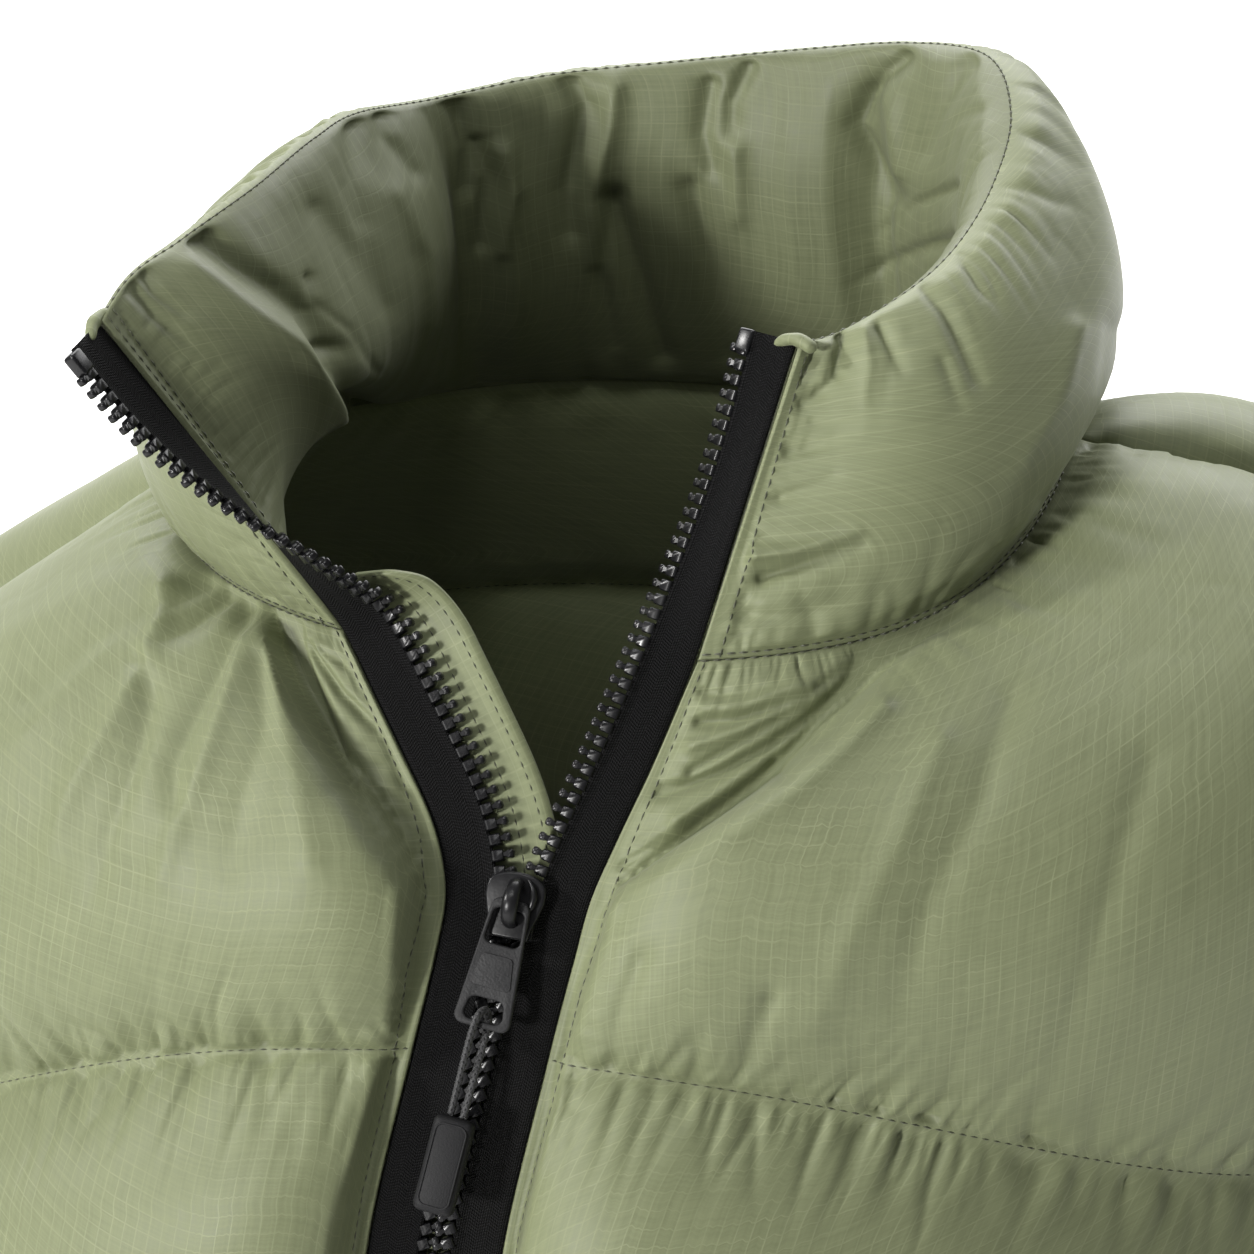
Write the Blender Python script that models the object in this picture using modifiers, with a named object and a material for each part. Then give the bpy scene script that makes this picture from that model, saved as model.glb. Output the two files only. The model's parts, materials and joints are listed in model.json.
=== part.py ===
"""Quilted puffer jacket, filled out as if worn, with its front zip open down to the chest.

Sizes are millimetres until mesh_object() scales them to metres. +X is the wearer's left, the
front faces -Y and +Z is up. The origin is the middle of the neck, where the wearer holds it.
"""
import math

import bmesh
import bpy
import numpy as np
from mathutils import Matrix, Vector

GAP = 0.3
SEAM = 1.5
LINING = 3.0
COLLECTION = "puffer_jacket"

SHELL_GREEN = (0.22, 0.26, 0.15)
LINING_GREEN = (0.19, 0.23, 0.13)
ZIP_BLACK = (0.02, 0.02, 0.02)

# Rings of the body's middle surface, from the neck seam (row 0) down one baffle a row to the hem (row 7).
# row, x_mid, x_half, y_mid, y_front, y_back, z_front, z_left, z_right, z_back, flatness
RINGS = [
    (0.00, 0, 117, -12, -118, 90, 0, 16, -2, -19, 1.0),
    (0.30, -1, 162, -12, -133, 100, -26, 0, -54, -48, 0.7),
    (0.60, -3, 214, -14, -150, 108, -50, -35, -98, -82, 0.3),
    (1.00, -10, 220, -24, -166, 112, -84, -148, -170, -122, 0),
    (1.50, -19, 216, -36, -186, 116, -129, -194, -206, -166, 0),
    (2.00, -22, 210, -44, -200, 118, -177, -229, -237, -211, 0),
    (2.40, -22, 207, -46, -204, 118, -215, -260, -266, -249, 0),
    (3.00, -18, 208, -46, -205, 114, -273, -311, -316, -304, 0),
    (4.00, -11, 208, -45, -202, 106, -370, -403, -406, -397, 0),
    (5.00, -5, 206, -45, -197, 100, -468, -497, -498, -491, 0),
    (6.00, -1, 204, -45, -192, 98, -567, -590, -590, -586, 0),
    (7.00, 0, 196, -45, -182, 92, -664, -682, -682, -680, 0),
]
ROUND_X = 0.86
ROUND_Y = 0.90

# Half of the gap between the two front edges: row, wearer's left, wearer's right.
FRONT_EDGE = [
    (0.00, 36, 53),
    (0.25, 28, 35),
    (0.45, 21.5, 22.5),
    (0.58, 18, 18),
    (0.75, 17.0, 17.0),
    (0.90, 16.8, 16.8),
    (1.00, 16.8, 16.8),
    (7.00, 16.8, 16.8),
]

# Angle from the front at which a panel ends: row, degrees. 90 is the shoulder seam, then the side seam.
PANEL_END = [
    (0.60, 90),
    (0.80, 76),
    (1.10, 65),
    (1.50, 60),
    (1.90, 62),
    (2.25, 72),
    (2.50, 90),
]

# Rows of the body grid: the quilt seams are the whole numbers.
SHOULDER_ROW = 0.6
ARMPIT_ROW = 2.5
NECK_ROWS = [0.0, 0.06, 0.16, 0.30, 0.45, 0.60, 0.72, 0.86]
BAFFLE_ROWS = [0.0, 0.15, 0.50, 0.85]
FRONT_COLUMNS = [0.0, 0.035, 0.11, 0.24, 0.40, 0.58, 0.76, 0.90, 1.0]
BACK_COLUMNS = 17

# Collar stations round the neck, from the wearer's right zip (-1) by the back (0) to the left zip (1).
# station, crest x, y, z, outward puff, inward puff, bow, roundness
COLLAR = [
    (-1.00, -109, -110, 79, 1.5, 1.5, 0, 0.9),
    (-0.94, -106, -99, 84, 5, 14, 0, 0.9),
    (-0.80, -97, -78, 88, 12, 33, 2, 0.8),
    (-0.62, -86, -48, 91, 15, 38, 5, 0.8),
    (-0.46, -80, -13, 91, 16, 34, 6, 0.8),
    (-0.32, -76, 18, 87, 18, 26, 4, 0.8),
    (-0.20, -64, 52, 79, 20, 18, 0, 0.7),
    (-0.10, -36, 75, 79, 22, 14, 0, 0.6),
    (0.00, 0, 82, 82, 22, 14, 0, 0.6),
    (0.12, 36, 79, 88, 22, 14, 0, 0.6),
    (0.22, 64, 67, 95, 22, 15, 0, 0.55),
    (0.34, 89, 42, 101, 22, 17, 0, 0.5),
    (0.46, 98, 12, 96, 22, 17, 0, 0.45),
    (0.58, 96, -15, 87, 22, 17, 0, 0.45),
    (0.70, 89, -38, 79, 20, 15, 0, 0.5),
    (0.82, 78, -55, 73, 16, 12, 0, 0.5),
    (0.94, 61, -67, 66, 7, 6, 0, 0.6),
    (1.00, 55, -74, 67, 1.5, 1.5, 0, 0.7),
]
COLLAR_ROWS = [0.0, 0.10, 0.28, 0.50, 0.72, 0.90, 1.0]

# Left sleeve: section, centre x, y, z, tilt in degrees from facing out to facing down, half height, half depth.
SLEEVE = [
    (0.0, 216, -30, -142, 0, 98, 70),
    (1.0, 274, -32, -194, 32, 79, 71),
    (2.0, 306, -36, -258, 62, 70, 70),
    (3.0, 332, -44, -346, 71, 64, 65),
    (4.0, 352, -58, -436, 73, 59, 60),
    (5.0, 377, -76, -530, 75, 54, 55),
    (6.0, 399, -98, -626, 76, 47, 48),
]
SLEEVE_ROWS = [0.0, 0.15, 0.50, 0.85]

PUFF_BODY = 23.0
PUFF_SLEEVE = 13.0

TAPE_WIDTH = 12.6
TAPE_THICK = 1.0
CHAIN_WIDTH = 3.2
CHAIN_THICK = 2.8
GUARD_WIDTH = 36.0
GUARD_TOP = 0.10
# How far a tape turns in from the collar's surface: place on the zip, wearer's left, wearer's right, degrees.
TAPE_TURN = [
    (-0.10, 0, 0),
    (0.15, 35, 0),
    (0.45, 58, -15),
    (0.75, 70, -10),
    (1.00, 76, 12),
]
SLIDER_ROW = 0.625
SLIDER_LIFT = CHAIN_THICK / 2 + 0.7
BOX_TOP = 6.87
STOP_FOOT = 0.93

# The pull: a pin under the slider's bail, a tab with two windows, a cord loop and a moulded end.
PLATE = 2.2
PIN = 1.8
PIN_LIFT = 1.5
PIN_ROOM = 1.5
PULL_LEAN = -4.0
CORD_THICK = 1.9
CORD_POINTS = 21
# Route of the cord's middle in the pull's own frame: across, up, out.
CORD_ROUTE = [
    (-1.6, -52.6, 0.6),
    (-1.6, -44.0, 1.0),
    (-1.5, -37.0, 1.9),
    (-1.3, -31.0, 2.3),
    (-0.9, -27.8, 1.9),
    (0.0, -26.3, 0.0),
    (0.9, -27.8, -1.9),
    (1.3, -31.0, -2.2),
    (1.5, -37.0, -1.2),
    (1.6, -44.0, 0.0),
    (1.6, -52.6, 0.6),
]


def track(table, at):
    """Smooth curve through a table whose first column is the key."""
    rows = np.asarray(table, float)
    key, value = rows[:, 0], rows[:, 1:]
    step = np.diff(key)[:, None]
    slope = np.diff(value, axis=0) / step
    inner = (slope[:-1] * step[1:] + slope[1:] * step[:-1]) / (step[:-1] + step[1:])
    rate = np.vstack([slope[:1], inner, slope[-1:]])
    at = np.clip(np.asarray(at, float), key[0], key[-1])
    i = np.clip(np.searchsorted(key, at, side="right") - 1, 0, len(key) - 2)
    span = (key[i + 1] - key[i])[..., None]
    t = (at - key[i])[..., None] / span
    rise = t * t * (3 - 2 * t)
    start = t * (1 - t) ** 2 * span * rate[i]
    end = t * t * (t - 1) * span * rate[i + 1]
    return value[i] * (1 - rise) + value[i + 1] * rise + start + end


def unit(v):
    return v / np.maximum(np.linalg.norm(v, axis=-1, keepdims=True), 1e-9)


def torso(theta, row):
    """Point of the body's middle surface at an angle from the front and a row."""
    theta, row = np.broadcast_arrays(np.asarray(theta, float), np.asarray(row, float))
    ring = track(RINGS, row)
    x_mid, x_half, y_mid, y_front, y_back, z_front, z_left, z_right, z_back, flat = np.moveaxis(ring, -1, 0)
    s, c = np.sin(np.radians(theta)), np.cos(np.radians(theta))
    x = x_mid * np.maximum(c, 0) ** 2 + x_half * np.sign(s) * np.abs(s) ** ROUND_X
    y_end = np.where(c > 0, y_front, y_back)
    y = y_mid + (y_end - y_mid) * np.abs(c) ** ROUND_Y
    z_side = np.where(s > 0, z_left, z_right)
    z_end = np.where(c > 0, z_front, z_back)
    share = (1 - flat) * np.abs(c) ** 3 + flat * (1 - (1 - c * c) ** 3.5)
    z = z_side + (z_end - z_side) * share
    return np.stack([x, y, z], axis=-1)


def torso_normal(theta, row):
    low, high = np.clip(np.asarray(row, float) - 0.02, 0, 7), np.clip(np.asarray(row, float) + 0.02, 0, 7)
    down = torso(theta, high) - torso(theta, low)
    side = torso(np.asarray(theta) + 1.0, row) - torso(np.asarray(theta) - 1.0, row)
    return unit(np.cross(down, side))


def edge_angle(row, side):
    """Angle of a front edge: side is 1 for the wearer's left, -1 for the right."""
    half = track(FRONT_EDGE, row)[..., 0 if side > 0 else 1]
    x_half = track(RINGS, row)[..., 1]
    return np.degrees(np.arcsin((half / x_half) ** (1 / ROUND_X)))


def panel_end(row):
    row = np.asarray(row, float)
    end = track(PANEL_END, row)[..., 0]
    return np.where((row <= SHOULDER_ROW) | (row >= ARMPIT_ROW), 90.0, end)


def pinch(distance, reach):
    """Rises from 0 at a seam to 1 a reach away from it, steeply at first, as filled cloth does."""
    t = 1 - np.clip(distance / reach, 0, 1)
    return np.sqrt(np.clip(1 - t * t, 0, 1))


def arc(points, axis):
    """Distance along the lines of a grid."""
    step = np.linalg.norm(np.diff(points, axis=axis), axis=-1)
    total = np.cumsum(step, axis=axis)
    start = np.zeros_like(np.take(total, [0], axis=axis))
    return np.concatenate([start, total], axis=axis)


def body_rows():
    rows = list(NECK_ROWS)
    for baffle in range(1, 7):
        rows += [baffle + r for r in BAFFLE_ROWS]
    return np.array(rows + [7.0])


def shrink(points):
    """Draw a panel's border in by half the gap, so that neighbours stay apart at their seams."""
    out = points.copy()
    out[0] += square_to(points[0], points[1] - points[0])
    out[-1] += square_to(points[-1], points[-2] - points[-1])
    out[:, 0] += square_to(points[:, 0], points[:, 1] - points[:, 0])
    out[:, -1] += square_to(points[:, -1], points[:, -2] - points[:, -1])
    return out


def square_to(line, inward):
    """Half a gap from a border line towards its panel, square to the line."""
    along = unit(np.gradient(line, axis=0))
    return unit(inward - along * np.sum(inward * along, axis=-1, keepdims=True)) * GAP / 2


def panel(theta, rows, puff):
    """Middle surface, normals and puffed thickness of one body panel."""
    row = np.broadcast_to(rows[:, None], theta.shape)
    points = torso(theta, row)
    normals = torso_normal(theta, row)
    normals[0] = neck_normal(theta[0])
    along = arc(points, 1)
    seam = np.minimum(along, along[:, -1:] - along)
    baffle = np.sin(np.pi * (row - np.floor(row))) ** 0.55
    armpit = np.exp(-(((row - 2.45) / 0.45) ** 4))
    swell = pinch(seam, 34) * (1 - armpit) + np.minimum(seam / 90, 1) * armpit
    thick = SEAM + puff * baffle * swell
    thick = np.minimum(thick, SEAM + arc(points, 0))
    return shrink(points), normals, thick, along


def front_panel(side):
    rows = body_rows()
    begin, end = edge_angle(rows, side), panel_end(rows)
    columns = np.array(FRONT_COLUMNS)
    theta = begin[:, None] + (end - begin)[:, None] * columns
    points, normals, thick, along = panel(theta * side, rows, PUFF_BODY)
    wide = 46 if side > 0 else 22
    flat = np.interp(rows, [0, 0.3, 0.55, 0.8], [wide, wide * 0.6, 8, 6])[:, None]
    thick = np.minimum(thick, SEAM + PUFF_BODY * pinch(np.maximum(along - flat, 0) + 0.8, 30))
    return points, normals, thick


def back_panel():
    rows = body_rows()
    end = panel_end(rows)
    columns = np.linspace(0, 1, BACK_COLUMNS)
    theta = (180 - end)[:, None] + (2 * end)[:, None] * columns
    points, normals, thick, _ = panel(theta, rows, PUFF_BODY)
    return points, normals, thick


def collar_angle(station):
    station = np.asarray(station, float)
    left, right = edge_angle(0.0, 1), edge_angle(0.0, -1)
    return 180 - np.where(station > 0, station * (180 - left), station * (180 - right))


def collar_middle(station, row):
    """Middle surface of the stand collar: row 0 is the neck seam, row 1 the crest."""
    station, row = np.broadcast_arrays(np.asarray(station, float), np.asarray(row, float))
    base = torso(collar_angle(station), 0.0)
    crest = track(COLLAR, station)[..., :3]
    bow = track(COLLAR, station)[..., 5]
    straight = base + (crest - base) * row[..., None]
    ahead = torso(collar_angle(station + 0.01), 0.0) - torso(collar_angle(station - 0.01), 0.0)
    out = unit(np.cross(crest - base, ahead))
    return straight + out * (bow * np.sin(np.pi * row))[..., None]


def collar_normal(station, row):
    lower, upper = np.clip(np.asarray(row, float) - 0.05, 0, 1), np.clip(np.asarray(row, float) + 0.05, 0, 1)
    before, after = np.clip(np.asarray(station) - 0.01, -1, 1), np.clip(np.asarray(station) + 0.01, -1, 1)
    up = collar_middle(station, upper) - collar_middle(station, lower)
    ahead = collar_middle(after, row) - collar_middle(before, row)
    return unit(np.cross(up, ahead))


def neck_normal(theta):
    """Mitre direction shared by the collar and the body at the neck seam."""
    return unit(torso_normal(theta, 0.0) + collar_normal(station_at(theta), 0.0))


def station_at(theta):
    """Collar station above an angle of the neck seam."""
    turned = np.where(np.asarray(theta) < 0, np.asarray(theta) + 360, theta)
    left, right = edge_angle(0.0, 1), edge_angle(0.0, -1)
    station = np.where(turned <= 180, (180 - turned) / (180 - left), (180 - turned) / (180 - right))
    return np.clip(station, -1, 1)


def collar_stations():
    """One station at each column of the three panels below, so that the seam's edges match."""
    columns = np.array(FRONT_COLUMNS)
    left, right = edge_angle(0.0, 1), edge_angle(0.0, -1)
    angles = np.concatenate(
        [
            left + (90 - left) * columns,
            np.linspace(90, 270, BACK_COLUMNS)[1:-1],
            (360 - right) - (90 - right) * columns,
        ]
    )
    return np.sort(station_at(angles))


def collar_grid():
    station = collar_stations()[None, :]
    row = np.array(COLLAR_ROWS)[:, None]
    station, row = np.broadcast_arrays(station, row)
    points = collar_middle(station, row)
    normals = collar_normal(station, row)
    normals[0] = neck_normal(collar_angle(station[0]))
    sizes = track(COLLAR, station)
    swell = np.abs(np.sin(np.pi * row)) ** sizes[..., 6]
    outward = SEAM + (np.maximum(sizes[..., 3] - SEAM, 0)) * swell
    inward = SEAM + (np.maximum(sizes[..., 4] - SEAM, 0)) * swell
    limit = SEAM + arc(points, 0)
    outward, inward = np.minimum(outward, limit), np.minimum(inward, limit)
    return shrink(points), normals, outward, inward


def sleeve_ring(section, angle):
    """Point of the left sleeve's middle surface: angle 0 is the top, 90 the front."""
    cx, cy, cz, tilt, high, deep = np.moveaxis(track(SLEEVE, section), -1, 0)
    tilt = np.radians(tilt)
    c, s = np.cos(np.radians(angle)), np.sin(np.radians(angle))
    x = cx + high * c * np.sin(tilt)
    y = cy - deep * s
    z = cz + high * c * np.cos(tilt)
    return np.stack([x, y, z], axis=-1)


def armhole(side):
    """Armhole seam on the panels' own rows: points, normals and angle round the sleeve from the top."""
    rows = body_rows()
    rows = rows[(rows >= SHOULDER_ROW) & (rows <= ARMPIT_ROW)]
    around = np.concatenate([rows, rows[-2:0:-1]])
    front = np.arange(len(around)) < len(rows)
    theta = np.where(front, panel_end(around), 180 - panel_end(around)) * side
    points = torso(theta, around)
    loop = np.concatenate([points, points[:1]])
    step = np.concatenate([[0], np.cumsum(np.linalg.norm(np.diff(loop, axis=0), axis=1))])
    turn = len(rows) - 1
    angle = np.where(
        front, 180 * step[:-1] / step[turn], 180 + 180 * (step[:-1] - step[turn]) / (step[-1] - step[turn])
    )
    return points, torso_normal(theta, around), angle


def sleeve_grid(side):
    sections = [0.0, 0.12, 0.35, 0.60, 0.85]
    for baffle in range(1, 6):
        sections += [baffle + r for r in SLEEVE_ROWS]
    section = np.array(sections + [6.0])[:, None]
    seam, seam_normal, angle = armhole(side)
    section, angle = np.broadcast_arrays(section, angle[None, :])
    mirror = np.array([side, 1, 1])
    free = sleeve_ring(section, angle) * mirror
    hold = np.clip(1 - section / 1.5, 0, 1)[..., None] ** 1.5
    points = free + (seam - free[0]) * hold
    ahead = np.roll(points, -1, axis=1) - np.roll(points, 1, axis=1)
    normals = unit(np.cross(ahead, np.gradient(points, axis=0)))
    centre = points.mean(axis=1, keepdims=True)
    normals *= np.sign(np.sum(normals * (points - centre), axis=-1, keepdims=True))
    normals[0] = seam_normal
    points[0] += unit(points[1] - points[0]) * GAP * 1.5
    draw = 1.7 - 1.1 * np.cos(np.radians(angle))[..., None]
    points[:2] += unit(centre[:2] - points[:2]) * draw[:2]
    whole = np.floor(np.minimum(section, 5.999))
    outside = 0.55 + 0.45 * np.cos(np.radians(angle))
    thick = 2 * SEAM + PUFF_SLEEVE * outside * np.abs(np.sin(np.pi * (section - whole))) ** 0.55
    thick[-1] = 2 * SEAM
    return points, normals, thick


def mesh_object(name, vertices, faces, colour, rough=0.7):
    mesh = bpy.data.meshes.new(name)
    mesh.from_pydata([tuple(v * 0.001) for v in np.asarray(vertices, float)], [], faces)
    obj = bpy.data.objects.new(name, mesh)
    bpy.data.collections[COLLECTION].objects.link(obj)
    bm = bmesh.new()
    bm.from_mesh(mesh)
    bmesh.ops.recalc_face_normals(bm, faces=bm.faces)
    bm.to_mesh(mesh)
    bm.free()
    finish(obj, colour, rough)
    return obj


def finish(obj, colour, rough):
    material = bpy.data.materials.new(obj.name + "_material")
    material.use_nodes = True
    surface = material.node_tree.nodes["Principled BSDF"]
    surface.inputs["Base Color"].default_value = (*colour, 1)
    surface.inputs["Roughness"].default_value = rough
    obj.data.materials.clear()
    obj.data.materials.append(material)


def shell(name, outer, inner, colour, closed=False):
    """Closed wall between two grids of the same size; a closed one wraps round its columns."""
    rows, columns = outer.shape[:2]
    count = rows * columns
    vertices = np.concatenate([outer.reshape(-1, 3), inner.reshape(-1, 3)])
    faces = []
    wrap = columns if closed else columns - 1
    for i in range(rows - 1):
        for j in range(wrap):
            k = (j + 1) % columns
            a, b = i * columns + j, i * columns + k
            c, d = (i + 1) * columns + k, (i + 1) * columns + j
            faces += [(a, b, c), (a, c, d)]
            faces += [(count + c, count + b, count + a), (count + d, count + c, count + a)]
    border = [(j, (j + 1) % columns) for j in range(wrap)]
    last = (rows - 1) * columns
    border += [(last + (j + 1) % columns, last + j) for j in range(wrap)]
    if not closed:
        border += [((i + 1) * columns, i * columns) for i in range(rows - 1)]
        right = columns - 1
        border += [(i * columns + right, (i + 1) * columns + right) for i in range(rows - 1)]
    for a, b in border:
        faces += [(b, a, count + a), (b, count + a, count + b)]
    return mesh_object(name, vertices, faces, colour)


def edge_point(side, at):
    """Point of a front edge: at runs from -7 at the hem by 0 at the neck seam to 1 at the crest."""
    at = np.asarray(at, float)
    row = np.clip(-at, 0, 7)
    body = torso(edge_angle(row, side) * side, row)
    return np.where(at[:, None] <= 0, body, collar_middle(float(side), np.clip(at, 0, 1)))


def zip_edge(side, at):
    """Line of one front edge, the direction its tape goes and the outward normal."""
    at = np.asarray(at, float)
    row = np.clip(-at, 0, 7)
    theta = edge_angle(row, side) * side
    body_away = unit(torso(theta, row) - torso(theta + 2.0 * side, row))
    climb = np.clip(at, 0, 1)
    stand_away = unit(collar_middle(float(side), climb) - collar_middle(side * 0.965, climb))
    share = np.clip((at + 0.10) / 0.45, 0, 1)[:, None]
    share = share * share * (3 - 2 * share)
    line = edge_point(side, at)
    along = unit(edge_point(side, np.clip(at + 0.02, -7, 1)) - edge_point(side, np.clip(at - 0.02, -7, 1)))
    away = body_away * (1 - share) + stand_away * share
    away = unit(away - along * np.sum(away * along, axis=-1, keepdims=True))
    normal = unit(np.cross(along, away)) * side
    places, left, right = np.array(TAPE_TURN).T
    turn = np.radians(np.interp(at, places, left if side > 0 else right))[:, None]
    line = line + away * np.abs(np.sin(turn)) * TAPE_THICK / 2
    away, normal = away * np.cos(turn) - normal * np.sin(turn), normal * np.cos(turn) + away * np.sin(turn)
    return line, away, normal


def zip_rows(start, end):
    """The body's and collar's own rows between two places on the zip, with both ends."""
    rows = np.concatenate([-body_rows()[::-1], np.array(COLLAR_ROWS)[1:]])
    inside = rows[(rows > start + 0.02) & (rows < end - 0.02)]
    return np.concatenate([[start], inside, [end]])


def strip(name, line, away, normal, start, end, low, high, colour):
    """Bar with a rectangular section that follows a front edge."""
    near = np.stack([line + away * start + normal * high, line + away * end + normal * high], axis=1)
    far = np.stack([line + away * start + normal * low, line + away * end + normal * low], axis=1)
    return shell(name, near, far, colour)


def block(name, size, place, bevel, colour, rough=0.5):
    """Bevelled box at a placement given in millimetres."""
    bpy.ops.mesh.primitive_cube_add(size=1)
    obj = bpy.context.active_object
    obj.name = name
    obj.data.name = name
    obj.matrix_world = metres(place) @ Matrix.Diagonal((*[s * 0.001 for s in size], 1))
    bake(obj)
    soften = obj.modifiers.new("bevel", "BEVEL")
    soften.width = bevel * 0.001
    soften.segments = 2
    own(obj)
    finish(obj, colour, rough)
    return obj


def metres(place):
    out = place.copy()
    out.translation = place.translation * 0.001
    return out


def bake(obj):
    obj.data.transform(obj.matrix_world)
    obj.matrix_world = Matrix.Identity(4)


def own(obj):
    for holder in list(obj.users_collection):
        holder.objects.unlink(obj)
    bpy.data.collections[COLLECTION].objects.link(obj)


def join(base, others):
    """Union of overlapping blocks into the first one."""
    for other in others:
        union = base.modifiers.new("union", "BOOLEAN")
        union.operation = "UNION"
        union.solver = "EXACT"
        union.object = other
    settle(base, others)


def cut(base, others):
    for other in others:
        hole = base.modifiers.new("hole", "BOOLEAN")
        hole.operation = "DIFFERENCE"
        hole.solver = "EXACT"
        hole.object = other
    settle(base, others)


def settle(base, others):
    graph = bpy.context.evaluated_depsgraph_get()
    mesh = bpy.data.meshes.new_from_object(base.evaluated_get(graph))
    base.modifiers.clear()
    base.data = mesh
    for other in others:
        bpy.data.objects.remove(other, do_unlink=True)


def placement(origin, across, along, normal):
    """Frame with X across, Y along and Z out of the cloth."""
    turn = Matrix((across, along, normal)).transposed().to_4x4()
    turn.translation = Vector(origin)
    return turn


def chain_middle(row):
    middle = GAP + TAPE_WIDTH + GAP + CHAIN_WIDTH / 2
    at = np.array([-row])
    halves = [zip_edge(side, at)[0] + zip_edge(side, at)[1] * middle for side in (1, -1)]
    return (halves[0] + halves[1])[0] / 2


def chain_frame(row):
    """Placement on the closed chain: X across, Y up along the chain and Z out."""
    up = unit(chain_middle(row - 0.06) - chain_middle(row + 0.06))
    across = unit(np.array([1.0, 0, 0]) - up * up[0])
    return placement(chain_middle(row), across, up, np.cross(across, up))


def build_body():
    for side, name in ((1, "left"), (-1, "right")):
        points, normals, thick = front_panel(side)
        half = GAP / 2
        outer = points + normals * (half + thick)[..., None]
        shell("front_" + name, outer, points + normals * half, SHELL_GREEN)
        inside = points - normals * (half + LINING)
        shell("lining_front_" + name, points - normals * half, inside, LINING_GREEN)
    points, normals, thick = back_panel()
    shell("back", points + normals * (half + thick)[..., None], points + normals * half, SHELL_GREEN)
    shell("lining_back", points - normals * half, points - normals * (half + LINING), LINING_GREEN)


def build_collar():
    points, normals, outward, inward = collar_grid()
    half = GAP / 2
    outer = points + normals * (half + outward)[..., None]
    shell("collar_outer", outer, points + normals * half, SHELL_GREEN)
    inner = points - normals * (half + inward)[..., None]
    shell("collar_facing", points - normals * half, inner, LINING_GREEN)


def build_sleeves():
    for side, name in ((1, "left"), (-1, "right")):
        points, normals, thick = sleeve_grid(side)
        inner = points - normals * SEAM
        outer = inner + normals * thick[..., None]
        shell("sleeve_" + name, outer, inner, SHELL_GREEN, closed=True)


def build_zip():
    half = TAPE_THICK / 2
    reach = GAP + TAPE_WIDTH
    start, end = reach + GAP, reach + GAP + CHAIN_WIDTH
    thick = CHAIN_THICK / 2
    for side, name in ((1, "left"), (-1, "right")):
        tape = zip_edge(side, zip_rows(-7.0, 1.0))
        strip("zip_tape_" + name, *tape, GAP, reach, -half, half, ZIP_BLACK)
        chain = zip_edge(side, zip_rows(-BOX_TOP, STOP_FOOT))
        strip("zip_chain_" + name, *chain, start, end, -thick, thick, ZIP_BLACK)
        stop = zip_edge(side, np.array([STOP_FOOT + 0.004, 0.985]))
        strip("zip_stop_" + name, *stop, start, end + 1.0, -2.1, 2.1, ZIP_BLACK)
    rows = zip_rows(-6.95, GUARD_TOP)
    guard = zip_edge(-1, rows)
    depth = GAP / 2 + LINING + np.interp(rows, [-0.40, -0.06, GUARD_TOP], [1.0, 2.2, 2.8])[:, None]
    strip("zip_guard", *guard, -8, GUARD_WIDTH - 8, -depth - 1.6, -depth, LINING_GREEN)
    box = chain_frame((BOX_TOP + 7) / 2) @ Matrix.Translation((0, 0, 0))
    block("zip_box", (7.4, 11.6, 4.6), box, 0.8, ZIP_BLACK)


def build_slider():
    at = chain_frame(SLIDER_ROW)
    lift = SLIDER_LIFT
    top = lift + PLATE
    front = block("zip_slider", (14, 16.0, PLATE), at @ Matrix.Translation((0, 0, lift + PLATE / 2)), 0.9, ZIP_BLACK)
    back = block("slider_back", (12, 15.0, 1.2), at @ Matrix.Translation((0, 0, -lift - 0.6)), 0.4, ZIP_BLACK)
    post = block("slider_post", (1.8, 2.6, 6.2), at @ Matrix.Translation((0, 6.2, 0.5)), 0.3, ZIP_BLACK)
    bridge = at @ Matrix.Translation((0, 0.6, top + PIN_LIFT + PIN_ROOM + 0.75))
    bail = block("bail", (3.0, 9.6, 1.5), bridge, 0.5, ZIP_BLACK)
    feet = []
    for y in (-3.2, 4.4):
        foot = at @ Matrix.Translation((0, y, top + 1.2))
        feet.append(block("bail_foot", (3.0, 2.0, 4.6), foot, 0.4, ZIP_BLACK))
    join(front, [back, post, bail, *feet])


def pull_frame():
    """Placement of the pull: its origin is the middle of the pin that turns under the bail."""
    at = chain_frame(SLIDER_ROW)
    lean = Matrix.Rotation(math.radians(PULL_LEAN), 4, "Z")
    return at @ Matrix.Translation((0, 0.6, SLIDER_LIFT + PLATE + PIN_LIFT)) @ lean


def build_pull():
    at = pull_frame()
    tab = block("pull_tab", (12.4, 32.0, PIN), at @ Matrix.Translation((0, -15.0, 0)), 0.7, ZIP_BLACK)
    upper = block("window", (7.6, 10.0, 6), at @ Matrix.Translation((0, -5.9, 0)), 0.6, ZIP_BLACK)
    lower = block("slot", (7.6, 4.6, 6), at @ Matrix.Translation((0, -26.5, 0)), 0.6, ZIP_BLACK)
    cut(tab, [upper, lower])
    end = at @ Matrix.Translation((0, -64.7, 0.6))
    block("pull_end", (10.2, 23.6, 5.0), end, 1.6, ZIP_BLACK, 0.6)
    route = track([(i, *p) for i, p in enumerate(CORD_ROUTE)], np.linspace(0, len(CORD_ROUTE) - 1, CORD_POINTS))
    curve = bpy.data.curves.new("pull_cord", "CURVE")
    curve.dimensions = "3D"
    curve.bevel_depth = CORD_THICK / 2 * 0.001
    curve.bevel_resolution = 2
    curve.use_fill_caps = True
    line = curve.splines.new("POLY")
    line.points.add(len(route) - 1)
    for point, place in zip(line.points, route):
        point.co = (*(at @ Vector(place) * 0.001), 1)
    cord = bpy.data.objects.new("pull_cord", curve)
    bpy.data.collections[COLLECTION].objects.link(cord)
    finish(cord, ZIP_BLACK, 0.8)


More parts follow.
